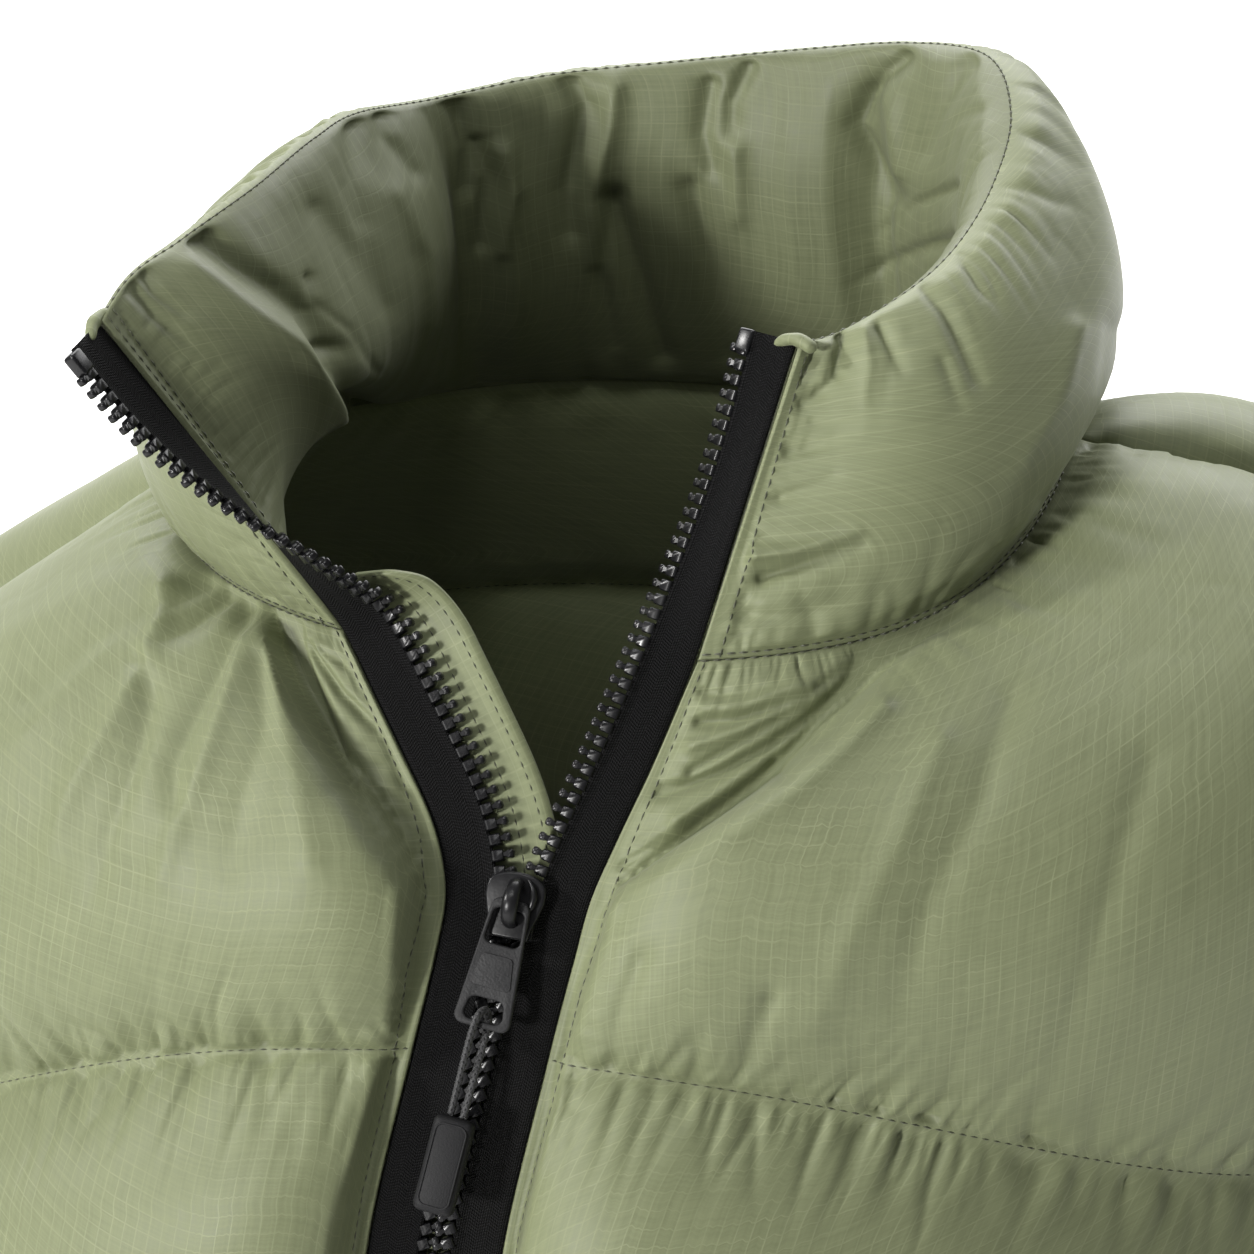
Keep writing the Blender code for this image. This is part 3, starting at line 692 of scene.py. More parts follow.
GRAIN = moulded("pull_grain", (0.018, 0.018, 0.019), (0.028, 0.028, 0.029), 0.50, 1700, 0.00012, 0.22)
GUM = moulded("pull_rubber", (0.010, 0.010, 0.011), (0.016, 0.016, 0.017), 0.55, 2400, 0.00006, 0.2)
SEAM_THREAD = thread("seam_thread", (0.030, 0.034, 0.017), (0.095, 0.105, 0.055))
CORD_THREAD = thread("cord_braid", (0.008, 0.008, 0.009), (0.05, 0.05, 0.052))


def dress(obj, material, slot, *nodes, body="jacket"):
    obj.data.materials.clear()
    obj.data.materials.append(material)
    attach(obj, body)
    if nodes:
        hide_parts(*nodes)
    return obj


# ---------------------------------------------------------------- camera, light and floor

CAM_TURN = 11.0
CAM_RISE = 28.0
CAM_ROLL = 1.5
CAM_AIM = (0.016, -0.100, 0.0)
CAM_AWAY = 0.900
CAM_LENS = 105
CAM_SENSOR = 36
# Width and height of the photograph, in pixels.
PHOTO = 1254
FLOOR_Z = -0.70


def camera_axes():
    """The camera's right, its up and the direction back to it from what it looks at."""
    turn, rise, roll = (math.radians(v) for v in (CAM_TURN, CAM_RISE, CAM_ROLL))
    back = np.array([math.sin(turn) * math.cos(rise), -math.cos(turn) * math.cos(rise), math.sin(rise)])
    right = np.array([math.cos(turn), math.sin(turn), 0])
    up = np.cross(back, right)
    across = right * math.cos(roll) - up * math.sin(roll)
    above = right * math.sin(roll) + up * math.cos(roll)
    return across, above, back


def set_camera():
    across, above, back = camera_axes()
    data = bpy.data.cameras.new("camera")
    data.lens = CAM_LENS
    data.sensor_width = CAM_SENSOR
    data.sensor_fit = "HORIZONTAL"
    data.clip_end = 50
    camera = add_object("camera", data)
    camera.matrix_world = placement(np.array(CAM_AIM) + back * CAM_AWAY, across, above, back)
    bpy.context.scene.camera = camera


def lamp(name, place, aim, size, power, colour=(1, 1, 1), size_y=None, spread=180):
    data = bpy.data.lights.new(name, "AREA")
    data.energy = power
    data.color = colour
    data.size = size
    data.spread = math.radians(spread)
    if size_y:
        data.shape = "RECTANGLE"
        data.size_y = size_y
    light = add_object(name, data)
    light.location = place
    light.rotation_euler = (Vector(place) - Vector(aim)).to_track_quat("Z", "Y").to_euler()


def set_studio():
    world = bpy.data.worlds.new("studio")
    world.use_nodes = True
    world.node_tree.nodes["Background"].inputs[0].default_value = (1.0, 1.0, 1.0, 1)
    world.node_tree.nodes["Background"].inputs[1].default_value = 0.145
    bpy.context.scene.world = world
    bpy.context.scene.view_settings.view_transform = "Standard"
    lamp("key", (-1.95, -0.75, 1.30), (0, -0.1, -0.05), 0.28, 31, (1.0, 0.985, 0.96))
    lamp("front", (-1.20, -2.08, 0.5), (0, -0.1, -0.12), 0.28, 48, (1.0, 0.99, 0.97))
    lamp("inside", (0.02, -0.34, 0.78), (-0.01, 0.05, -0.06), 0.14, 0.09, spread=46)
    lamp("over", (-0.45, -0.75, 2.1), (0, 0, -0.1), 0.9, 8)
    lamp("backdrop", (0.3, 3.6, 1.6), (0.3, 3.4, FLOOR_Z), 6.0, 480, size_y=4.5)
    low = FLOOR_Z * 1e3
    corners = np.array([(-9e3, -6e3, low), (9e3, -6e3, low), (9e3, 14e3, low), (-9e3, 14e3, low)])
    floor = raw_mesh("floor", corners, np.array([[0, 1, 2, 3]]))
    pale = Shader("studio_floor")
    pale.into("Base Color", (0.86, 0.86, 0.86, 1))
    pale.into("Roughness", 0.9)
    floor.data.materials.append(pale.material)


# ---------------------------------------------------------------- padded skins

# Folds read in the photograph's own frame of 1254 by 1254 and laid on the cloth they belong to.
# depth at the start and at the end, half width (millimetres), route. A negative depth is a ridge.
LEFT_CHEST_FOLDS = [
    (8.0, 7.0, 3.2, [(279, 620), (294, 665), (308, 702), (325, 743), (341, 780)]),
    (7.0, 2.0, 3.0, [(341, 780), (372, 830), (405, 878), (434, 906)]),
    (3.2, 1.4, 1.7, [(304, 645), (338, 692), (365, 718), (401, 745)]),
    (1.8, 0.8, 1.2, [(318, 650), (352, 668), (385, 702)]),
    (1.0, 0.4, 1.5, [(392, 738), (418, 764)]),
    (1.2, 0.5, 1.8, [(372, 800), (405, 832), (430, 846)]),
    (3.2, 1.5, 3.6, [(236, 585), (189, 625), (160, 640)]),
    (3.4, 1.5, 4.5, [(245, 595), (237, 631), (216, 672), (189, 723), (172, 763), (174, 802)]),
    (1.8, 0.4, 4.0, [(142, 662), (149, 699), (134, 760), (108, 835), (92, 900)]),
    (2.0, 0.8, 5.0, [(205, 585), (150, 612), (95, 645), (25, 700)]),
    (1.2, 0.4, 4.5, [(262, 660), (262, 730), (240, 800), (228, 870)]),
    (-2.6, -0.8, 4.5, [(172, 592), (162, 625), (145, 665), (112, 726), (74, 787), (52, 850)]),
    (-2.6, -0.8, 4.5, [(243, 640), (230, 689), (203, 767), (182, 812), (160, 880)]),
    (-1.6, -0.6, 4.5, [(205, 560), (142, 612), (95, 655), (27, 735)]),
    (-1.6, -0.5, 6.0, [(200, 545), (101, 588), (10, 636)]),
    (-1.6, -0.6, 5.0, [(268, 640), (285, 710), (300, 790), (310, 860)]),
]
RIGHT_CHEST_FOLDS = [
    (1.8, 0.5, 1.2, [(699, 691), (727, 694), (764, 687)]),
    (2.4, 1.2, 1.5, [(699, 722), (733, 720), (776, 708), (808, 694), (840, 672), (878, 651)]),
    (3.4, 3.0, 2.0, [(655, 791), (679, 787), (722, 771), (770, 745), (808, 718), (843, 688), (888, 654)]),
    (2.0, 1.0, 1.5, [(690, 771), (727, 750), (768, 726), (806, 705)]),
    (9.0, 7.5, 3.8, [(944, 605), (896, 643), (856, 691), (824, 731), (781, 766)]),
    (7.5, 1.5, 3.4, [(781, 766), (738, 798), (701, 825), (663, 854), (628, 881), (606, 902)]),
    (2.2, 0.8, 1.8, [(622, 865), (650, 848), (696, 818)]),
    (1.0, 0.3, 3.0, [(597, 938), (628, 905), (664, 884)]),
    (-2.4, -0.8, 5.0, [(880, 706), (838, 748), (780, 800), (715, 842), (650, 884)]),
    (-1.6, -0.7, 1.8, [(704, 708), (745, 706), (800, 684)]),
    (-1.8, -1.0, 1.8, [(690, 746), (745, 728), (812, 690)]),
    (-2.2, -1.2, 2.4, [(676, 822), (730, 788), (800, 742)]),
    (1.2, 0.6, 6.0, [(1010, 700), (980, 800), (930, 900), (900, 1000)]),
    (1.0, 0.5, 6.0, [(1150, 760), (1120, 860), (1090, 960), (1060, 1060)]),
    (-1.2, -0.5, 6.0, [(940, 740), (900, 840), (850, 940), (815, 1030)]),
    (1.4, 0.5, 3.5, [(770, 1000), (757, 1032), (748, 1062)]),
    (1.2, 0.5, 3.5, [(640, 960), (625, 1000), (612, 1040)]),
]
RIGHT_COLLAR_FOLDS = [
    (1.7, 0.6, 3.0, [(1010, 128), (1049, 140), (1085, 168)]),
    (1.3, 0.4, 2.0, [(990, 187), (1022, 187), (1066, 206)]),
    (1.8, 0.5, 2.0, [(957, 242), (970, 268), (984, 296)]),
    (2.2, 1.0, 3.0, [(925, 282), (948, 311), (962, 340), (979, 380)]),
    (0.8, 0.3, 2.5, [(946, 362), (961, 406)]),
    (1.7, 0.6, 2.0, [(882, 328), (892, 348), (902, 370)]),
    (2.4, 1.4, 2.2, [(832, 314), (844, 344), (838, 374)]),
    (1.8, 1.0, 1.8, [(806, 332), (814, 346), (810, 362), (802, 378)]),
    (-1.6, -0.8, 2.4, [(818, 322), (826, 350), (822, 380)]),
    (-1.4, -0.5, 2.6, [(862, 330), (868, 365), (864, 400)]),
    (-3.4, -0.6, 2.4, [(752, 556), (790, 552), (858, 533)]),
    (2.6, 0.6, 2.4, [(764, 578), (800, 566), (860, 545)]),
    (1.2, 0.3, 2.6, [(792, 452), (820, 446), (850, 430)]),
    (1.2, 0.3, 2.4, [(805, 404), (828, 388), (850, 360)]),
    (1.0, 0.3, 2.6, [(782, 498), (808, 492), (835, 478)]),
    (1.0, 0.4, 3.5, [(745, 615), (790, 618), (850, 600)]),
    (1.6, 1.0, 5.0, [(1118, 330), (1108, 400), (1085, 450), (1050, 500)]),
    (-1.5, -0.6, 5.0, [(1075, 330), (1060, 400), (1020, 470)]),
]
FACING_FOLDS = [
    (3.2, 1.5, 4.5, [(571, 84), (585, 109), (578, 149), (567, 193), (571, 232)]),
    (1.6, 0.8, 2.0, [(593, 106), (600, 131), (595, 147)]),
    (-2.6, -1.0, 3.6, [(614, 84), (611, 120), (600, 167), (593, 214), (597, 262)]),
    (3.4, 1.8, 4.5, [(612, 200), (636, 273), (650, 320), (662, 356)]),
    (1.8, 0.8, 4.0, [(614, 207), (600, 273), (612, 342)]),
    (2.8, 1.2, 3.8, [(709, 88), (702, 135), (711, 170)]),
    (3.0, 1.4, 3.4, [(747, 70), (731, 105), (731, 138)]),
    (-2.2, -1.0, 4.0, [(734, 145), (738, 180), (738, 216)]),
    (2.2, 1.2, 4.5, [(690, 190), (713, 265), (727, 355)]),
    (3.6, 2.6, 3.6, [(900, 62), (869, 95), (854, 127), (873, 160), (892, 200)]),
    (-2.4, -1.4, 3.5, [(887, 84), (894, 135), (898, 172)]),
    (2.8, 1.4, 4.0, [(967, 60), (934, 113), (922, 152)]),
    (3.0, 1.6, 4.0, [(455, 100), (473, 149), (469, 188)]),
    (3.0, 1.8, 3.4, [(480, 146), (491, 178), (484, 245)]),
    (-2.4, -1.2, 3.4, [(500, 150), (512, 190), (500, 250)]),
    (5.5, 5.0, 4.2, [(199, 237), (224, 251), (254, 275), (289, 298), (318, 322), (342, 358)]),
    (5.0, 4.5, 4.5, [(342, 358), (358, 396), (374, 432), (391, 482)]),
    (-2.2, -1.0, 5.0, [(190, 262), (240, 300), (300, 345), (345, 410), (362, 470)]),
    (1.6, 0.8, 2.4, [(312, 281), (318, 304), (353, 333), (378, 372)]),
    (2.4, 1.6, 4.0, [(380, 104), (388, 140), (415, 175)]),
    (1.8, 0.6, 2.6, [(123, 276), (157, 313), (190, 340)]),
    (1.6, 0.6, 2.4, [(145, 274), (157, 292), (185, 312)]),
    (1.8, 0.8, 5.0, [(322, 214), (359, 263), (384, 306)]),
    (2.2, 1.0, 4.5, [(356, 120), (356, 187), (363, 222)]),
    (-2.0, -1.0, 6.0, [(395, 190), (425, 250), (430, 320)]),
    (1.8, 0.5, 2.0, [(985, 186), (956, 187), (912, 206), (884, 229)]),
    (2.0, 0.6, 2.2, [(952, 240), (923, 248), (885, 264), (856, 283)]),
    (1.2, 0.4, 2.2, [(1006, 116), (975, 112), (948, 122)]),
]


def seen(points):
    """Where points fall in the photograph, their directions to the camera, and pixels in a millimetre."""
    across, above, back = camera_axes()
    lens, middle = CAM_LENS / CAM_SENSOR * PHOTO, PHOTO / 2
    way = points - (np.array(CAM_AIM) + back * CAM_AWAY) * 1000
    depth = -(way @ back)
    pixel = np.stack([middle + lens * (way @ across) / depth, middle - lens * (way @ above) / depth], axis=-1)
    return pixel, -way / np.linalg.norm(way, axis=-1, keepdims=True), lens / depth


# The folds are cut a little narrower and deeper than their tables say, to show as in the photograph.
FOLD_WIDTH = 0.85
FOLD_DEPTH = 1.45


def folded(normal, folds, surface):
    """Depth of the folds under each point of a surface that faces the camera, and how near it lies to one."""
    pixel, toward, scale = seen(surface)
    facing = np.clip((np.sum(normal * toward, axis=-1) + 0.15) / 0.2, 0, 1)
    sunk, raised, close = (np.zeros(scale.shape) for _ in range(3))
    for first, last, wide, route in folds:
        route = np.array(route, float)
        steps = arc(route, 0)
        best, where = np.full(scale.shape, 1e9), np.zeros(scale.shape)
        for k in range(len(route) - 1):
            way = route[k + 1] - route[k]
            t = np.clip(((pixel - route[k]) @ way) / (way @ way), 0, 1)
            gap = np.linalg.norm(pixel - route[k] - t[..., None] * way, axis=-1)
            nearer = gap < best
            best = np.where(nearer, gap, best)
            where = np.where(nearer, (steps[k] + t * (steps[k + 1] - steps[k])) / steps[-1], where)
        share = (best / scale) / (FOLD_WIDTH * wide)
        depth = FOLD_DEPTH * (first + (last - first) * where)
        drop = depth * facing / (1 + share**2) ** 1.5
        sunk += np.maximum(drop, 0) ** 3
        raised += np.minimum(drop, 0)
        close = np.maximum(close, np.clip(depth / 2.5, 0, 1) * facing / (1 + (share / 3.5) ** 4))
    return sunk ** (1 / 3) + raised, close


def seam_distance(points, seams):
    """Distance down the cloth from each grid point to the nearest seam row."""
    down = arc(points, 0)
    gap = np.full(down.shape, 1e6)
    for seam in seams:
        gap = np.minimum(gap, np.abs(down - down[seam]))
    return gap


# Gathers along a seam: their size and depth.
FINE_GATHERS = ((2.2, 0.8), (4.0, 1.6), (7.5, 2.2))
EDGE_GATHERS = ((1.8, 0.7), (3.2, 1.3), (5.5, 1.3))
WIDE_GATHERS = ((3.6, 0.3), (7.0, 0.8), (13.0, 1.8))


def gathers(shape, away, row_step, column_step, sizes):
    """Gathers that start fine at a seam and widen away from it, as depth below the smooth cloth."""
    out = np.zeros(shape)
    for size, depth in sizes:
        field = noise(shape, 1.7 * size / row_step, 0.42 * size / column_step)
        crest = 1 - np.minimum(np.abs(field), 1)
        out += depth * (crest**2 - 0.25) * np.exp(-((away / (2.6 * size)) ** 2))
    return out * np.clip(away / 2.2, 0, 1)


def doubled(values):
    return finer(finer(values, 0), 1)


# Depth of the fine crumples all over the cloth, and how far it always stays off its base.
CRUMPLE = 0.16
LEAST_RISE = 0.8


def puff_skin(base, normal, height, pinned, seams, edge_from, edge_gather=0.8, folds=(), pucker=1.0,
              sizes=FINE_GATHERS, swell=0.9, double=True):
    """Cloth held down along its seams and filled between them, with gathers at the seams and its own folds.

    Gives the cloth, its base, its normals and the smooth form that it was cut on. The grid comes out twice
    as fine where double is on.
    """
    free = np.where(pinned, 0.0, 1.0)
    height = height + noise(height.shape, 12, 9) * swell * np.clip(height / 12, 0, 1) * free
    x = base + normal * height[..., None]
    if double:
        x, base, normal, free = (doubled(v) for v in (x, base, normal, free))
        normal, free, seams = unit(normal), np.clip(free, 0, 1), [2 * seam for seam in seams]
    wide = spans(x, 1)
    across, down = np.median(wide), np.median(spans(x, 0))
    rise = np.sum((x - base) * normal, axis=-1)
    drop, close = folded(normal, folds, x) if folds else (0.0, 0.0)
    fine = gathers(rise.shape, seam_distance(x, seams), down, across, sizes) * pucker
    side = np.maximum(from_sides(x) - edge_from, 0)
    fine = fine + gathers(rise.shape[::-1], side.T, across, down, EDGE_GATHERS).T * edge_gather
    crumple = 1 - np.minimum(np.abs(noise(rise.shape, 3.5 / down, 2.5 / across)), 1)
    fine = fine + CRUMPLE * crumple**2 * np.clip(noise(rise.shape, 16 / down, 16 / across) + 0.3, 0, 1)
    room = np.concatenate([wide[:, :1], np.minimum(wide[:, :-1], wide[:, 1:]), wide[:, -1:]], axis=1)
    room = np.clip((room / np.median(spans(base, 1)) - 0.35) / 0.4, 0, 1)
    drop = (drop + fine * room * np.clip(rise / 2.2, 0, 1) * (1 - 0.7 * close)) * free
    wanted = np.maximum(rise - drop, np.minimum(rise, LEAST_RISE))
    return x + normal * (wanted - rise)[..., None], base, normal, x


def close_border(x, base, cut):
    """Turns the cloth's border in to the base all round, so that no raw edge shows."""
    grids = []
    for inside, edge in ((x, base), (cut, cut)):
        whole = np.pad(edge, ((1, 1), (1, 1), (0, 0)), mode="edge")
        whole[1:-1, 1:-1] = inside
        grids.append(whole)
    return grids


def cloth_cut(points):
    """Cut pattern in metres: distance along and down the smooth cloth."""
    return np.stack([arc(points, 1), -arc(points, 0)], axis=-1) * 0.001


# How far from a panel's side seam the filling reaches its full height.
BODY_REACH = 34
COLLAR_REACH = 13
SLEEVE_REACH = 22
LINING_REACH = 20
# The row where the armpit flattens the filling, and how far it does so.
ARMPIT_MIDDLE = 2.45
ARMPIT_SPAN = 0.45
# The sewn strip along a front's zip edge.
FRONT_STRIP = 3.2
# The width of the slope from the flat cloth beside the zip up to the filled front: row, millimetres.
RAMP = [(0, 9), (0.35, 8), (0.6, 5), (1.0, 6)]


def body_base(theta, rows, puff):
    row = np.broadcast_to(rows[:, None], theta.shape)
    points = torso(theta, row)
    normals = torso_normal(theta, row)
    if rows[0] == 0:
        share = np.clip(1 - rows / 0.06, 0, 1)[:, None, None]
        normals = unit(normals + (neck_normal(theta[0])[None] - normals) * share)
    along = arc(points, 1)
    seam = np.minimum(along, along[:, -1:] - along)
    floor = 0.26 * np.clip(row / 0.5, 0, 1) * np.clip((7 - row) / 0.5, 0, 1)
    baffle = floor + (1 - floor) * np.abs(np.sin(np.pi * (row - np.floor(row)))) ** 0.8
    armpit = np.exp(-(((row - ARMPIT_MIDDLE) / ARMPIT_SPAN) ** 4))
    swell = pinch(seam, BODY_REACH) * (1 - armpit) + np.minimum(seam / 90, 1) * armpit
    thick = SEAM + puff * baffle * swell
    if rows[0] == 0:
        thick = np.minimum(thick, SEAM + arc(points, 0))
    return shrink(points), normals, thick, along


def front_base(side, rows, columns):
    begin, end = edge_angle(rows, side), panel_end(rows)
    theta = begin[:, None] + (end - begin)[:, None] * columns
    points, normals, thick, along = body_base(theta * side, rows, PUFF_BODY)
    wide = 46 if side > 0 else 22
    flat = np.interp(rows, [0, 0.3, 0.55, 0.8], [wide, wide * 0.6, 5.5, 3.6])[:, None]
    rise = np.clip((along - flat) / np.interp(rows, *zip(*RAMP))[:, None], 0, 1)
    main = SEAM + 0.8 + PUFF_BODY * np.sin(np.pi / 2 * rise)
    band = (4.6 if side > 0 else 3.8) * np.sin(np.pi * np.clip((along - 2.6) / (flat + 6), 0, 1)) ** 0.7
    band *= np.clip(arc(points, 0) / 9, 0, 1) * np.clip((1 - rows) / 0.25, 0, 1)[:, None]
    thick = np.minimum(thick, np.maximum(main, SEAM + band))
    return points, normals, thick


def back_base(rows, columns):
    end = panel_end(rows)
    theta = (180 - end)[:, None] + (2 * end)[:, None] * columns
    points, normals, thick, _ = body_base(theta, rows, PUFF_BODY)
    return points, normals, thick


def seam_rows(rows):
    return [i for i, r in enumerate(rows) if abs(r - round(r)) < 1e-6]


def hold_borders(shape, seams):
    pinned = np.zeros(shape, bool)
    pinned[seams] = True
    pinned[:, [0, -1]] = True
    return pinned


def wall_piece(name, x, base, cut, material, slot, nodes, flip=False):
    points, uv = close_border(x, base, cut)
    obj = grid_mesh(name, points, uv, flip=flip)
    dress(obj, material, slot, *nodes)


STITCH_PITCH = 3.0
STITCH_LONG = 2.2
STITCHES = []


def stitch_line(points, normals, thick=0.3, lift=0.15):
    """Thread bars laid along a line of points with their normals."""
    steps = arc(points, 0)
    count = int(steps[-1] / STITCH_PITCH)
    if count < 1:
        return
    middle = (np.arange(count) + 0.5) * steps[-1] / count
    place = read_between(middle, steps, points)
    after = read_between(np.minimum(middle + 0.6, steps[-1]), steps, points)
    before = read_between(np.maximum(middle - 0.6, 0), steps, points)
    out = unit(read_between(middle, steps, normals))
    STITCHES.append((place + out * lift, unit(after - before), out, thick))


def sew_all(name):
    """All thread bars gathered so far as one piece of triangles."""
    around = np.radians(np.array([90, 210, 330]))
    profile = [(-0.5, 0.4), (0.0, 1.1), (0.5, 0.4)]
    quads = np.concatenate([ring_faces(3, 3), [(0, 2, 1, 1), (6, 7, 8, 8)]])
    blocks = []
    for place, ahead, out, thick in STITCHES:
        side = unit(np.cross(out, ahead))
        rings = []
        for along, wide in profile:
            for angle in around:
                spoke = side * math.cos(angle) + out * math.sin(angle) * 0.8
                dip = out * (-thick * 0.7 * (2 * along) ** 2)
                rings.append(place + ahead * (along * STITCH_LONG) + spoke * (thick * wide) + dip)
        verts = np.stack(rings, axis=1)
        shift = np.arange(len(place))[:, None, None] * 9
        blocks.append((verts.reshape(-1, 3), (quads[None] + shift).reshape(-1, 4)))
    vertices, quads = together(blocks)
    tri = np.concatenate([quads[:, [0, 1, 2]], quads[:, [0, 2, 3]]])
    tri = tri[(tri[:, 0] != tri[:, 1]) & (tri[:, 1] != tri[:, 2]) & (tri[:, 0] != tri[:, 2])]
    return raw_mesh(name, vertices, tri)


def make_fronts():
    for side, name in SIDES:
        for part, rows, columns in (
            ("upper", lines((0, 1, 56), (1, 2, 38)), lines((0, 0.03, 5), (0.03, 0.4, 56), (0.4, 1, 44))),
            ("lower", lines((2, 7, 175)), lines((0, 1, 100))),
        ):
            points, normals, thick = front_base(side, rows, columns)
            base = points + normals * GAP / 2
            seams = seam_rows(rows)
            strip = arc(points, 1) < FRONT_STRIP
            pinned = hold_borders(thick.shape, seams) | strip
            thick = np.where(strip, SEAM, thick)
            upper = part == "upper"
            folds = (RIGHT_CHEST_FOLDS if side > 0 else LEFT_CHEST_FOLDS) if upper else ()
            filled = puff_skin(base, normals, thick, pinned, seams, FRONT_STRIP, folds=folds, double=upper)
            x, base, normals, smooth = filled
            for seam in seams if upper else seams[1:]:
                row = 2 * seam if upper else seam
                stitch_line(x[row], normals[row])
            edge = int(np.argmin(np.abs(arc(smooth, 1)[len(rows) // 3] - 2.7)))
            stitch_line(x[:, edge], normals[:, edge])
            node = "front_" + name
            wall_piece(node + "_" + part, x, base, cloth_cut(smooth), SHELL, "shell", [node], flip=side > 0)


def make_back():
    rows, columns = lines((0, 1, 34), (1, 7, 150)), lines((0, 1, 130))
    points, normals, thick = back_base(rows, columns)
    base = points + normals * (GAP / 2)
    seams = seam_rows(rows)
    pinned = hold_borders(thick.shape, seams)
    filled = puff_skin(base, normals, thick, pinned, seams, 0.0, double=False)
    x, base, normals, smooth = filled
    for seam in seams:
        stitch_line(x[seam], normals[seam])
    wall_piece("back_skin", x, base, cloth_cut(smooth), SHELL, "shell", ["back"], flip=True)


def collar_base(station, row):
    station, row = np.broadcast_arrays(station[None, :], row[:, None])
    points = collar_middle(station, row)
    normals = collar_normal(station, row)
    share = np.clip(1 - row / 0.10, 0, 1)[..., None]
    normals = unit(normals + (neck_normal(collar_angle(station[0]))[None] - normals) * share)
    sizes = track(COLLAR, station)
    swell = np.abs(np.sin(np.pi * row)) ** sizes[..., 6]
    outward = SEAM + np.maximum(sizes[..., 3] - SEAM, 0) * swell
    inward = SEAM + np.maximum(sizes[..., 4] - SEAM, 0) * swell
    limit = SEAM + arc(points, 0)
    return shrink(points), normals, np.minimum(outward, limit), np.minimum(inward, limit)


# What the filled facing adds to or takes from the solid's depth: station round the collar, millimetres.
FACING_SWELL = [
    (-1.0, 0), (-0.56, 0), (-0.46, 3), (-0.37, 6), (-0.30, 7), (-0.26, 6), (-0.23, 1),
    (-0.205, -8), (-0.185, -7), (-0.15, 0), (0.04, 1), (0.11, 3), (0.15, 1), (0.185, -8),
    (0.205, -7), (0.24, 2), (0.31, 5), (0.42, 4), (0.60, 0), (1.0, 0),
]
# What it adds low on the wearer's right.
LOW_SWELL = [(-1, 0), (-0.9, 2), (-0.72, 10), (-0.5, 11), (-0.36, 6), (-0.25, 0)]


def make_collar():
    stations = lines((-1, -0.96, 8), (-0.96, 0.96, 226), (0.96, 1, 8))
    rows = lines((0, 1, 56))
    points, normals, outward, inward = collar_base(stations, rows)
    side = from_sides(points)
    seams = [0, len(rows) - 1]
    share = np.sin(np.pi * rows)[:, None] ** 0.8
    low = (np.clip(rows / 0.12, 0, 1) * (1 - rows) ** 1.2)[:, None]
    low = low * np.interp(stations, *zip(*LOW_SWELL))[None]
    swell = np.interp(stations, *zip(*FACING_SWELL))[None] * share
    inward = np.maximum(inward + swell, np.minimum(inward, 3.0)) + low
    for name, sign, thick, flat, node in (
        ("collar_outer_skin", 1, outward, 3.1, "collar_outer"),
        ("collar_facing_skin", -1, inward, 4.8, "collar_facing"),
    ):
        outer = sign > 0
        out = normals * sign
        base = points + out * (GAP / 2)
        height = SEAM + (thick - SEAM) * pinch(np.maximum(side - flat + 0.6, 0), COLLAR_REACH)
        pinned = hold_borders(height.shape, seams) | (side < flat)
        if outer:
            pinned[:2] = True
            height[1] = SEAM + 0.2
        x, base, out, smooth = puff_skin(
            base, out, height, pinned, seams, flat, edge_gather=0.9, pucker=0.75,
            sizes=FINE_GATHERS if outer else WIDE_GATHERS,
            folds=RIGHT_COLLAR_FOLDS if outer else FACING_FOLDS,
        )
        for reach_in in ((2.6,) if outer else (1.7, 4.4)):
            column = int(np.argmin(np.abs(arc(smooth, 1)[len(rows), :len(stations)] - reach_in)))
            stitch_line(x[:, column], out[:, column], lift=0.2)
            stitch_line(x[:, -column - 1], out[:, -column - 1], lift=0.2)
        if outer:
            stitch_line(x[2], out[2], lift=0.3)
            rise = unit(points[-1] - points[-3])
            stitch_line(points[-1] + rise * 0.2, rise, thick=0.4, lift=0.0)
        material, slot = (SHELL, "shell") if outer else (FACING_PAINTED_SHADE, "lining")
        wall_piece(name, x, base, cloth_cut(smooth), material, slot, [node], flip=not outer)


def sleeve_base(side, section, angle):
    seam, seam_normal, seam_angle = armhole(side)
    order = np.argsort(seam_angle)
    turn = np.concatenate([seam_angle[order] - 360, seam_angle[order], seam_angle[order] + 360])
    rounds = [np.concatenate([values[order]] * 3) for values in (seam, seam_normal)]
    hole, hole_normal = (read_between(angle, turn, values) for values in rounds)
    section, angle = np.broadcast_arrays(section[:, None], angle[None, :])
    mirror = np.array([side, 1, 1])
    free = sleeve_ring(section, angle) * mirror
    hold = np.clip(1 - section / 1.5, 0, 1)[..., None] ** 1.5
    points = free + (hole - free[0]) * hold
    ahead = np.roll(points[:, :-1], -1, axis=1) - np.roll(points[:, :-1], 1, axis=1)
    ahead = np.concatenate([ahead, ahead[:, :1]], axis=1)
    normals = unit(np.cross(ahead, np.gradient(points, axis=0)))
    centre = points[:, :-1].mean(axis=1, keepdims=True)
    normals *= np.sign(np.sum(normals * (points - centre), axis=-1, keepdims=True))
    share = np.clip(1 - section / 0.12, 0, 1)[..., None]
    normals = unit(normals + (unit(hole_normal)[None] - normals) * share)
    points = points + unit(np.gradient(points, axis=0)) * GAP * 1.5 * share
    draw = (1.7 - 1.1 * np.cos(np.radians(angle)))[..., None]
    points = points + unit(centre - points) * draw * np.clip((0.35 - section) / 0.23, 0, 1)[..., None]
    whole = np.floor(np.minimum(section, 5.999))
    outside = 0.55 + 0.45 * np.cos(np.radians(angle))
    thick = 2 * SEAM + PUFF_SLEEVE * outside * np.abs(np.sin(np.pi * (section - whole))) ** 0.72
    thick[-1] = 2 * SEAM
    return points, normals, thick


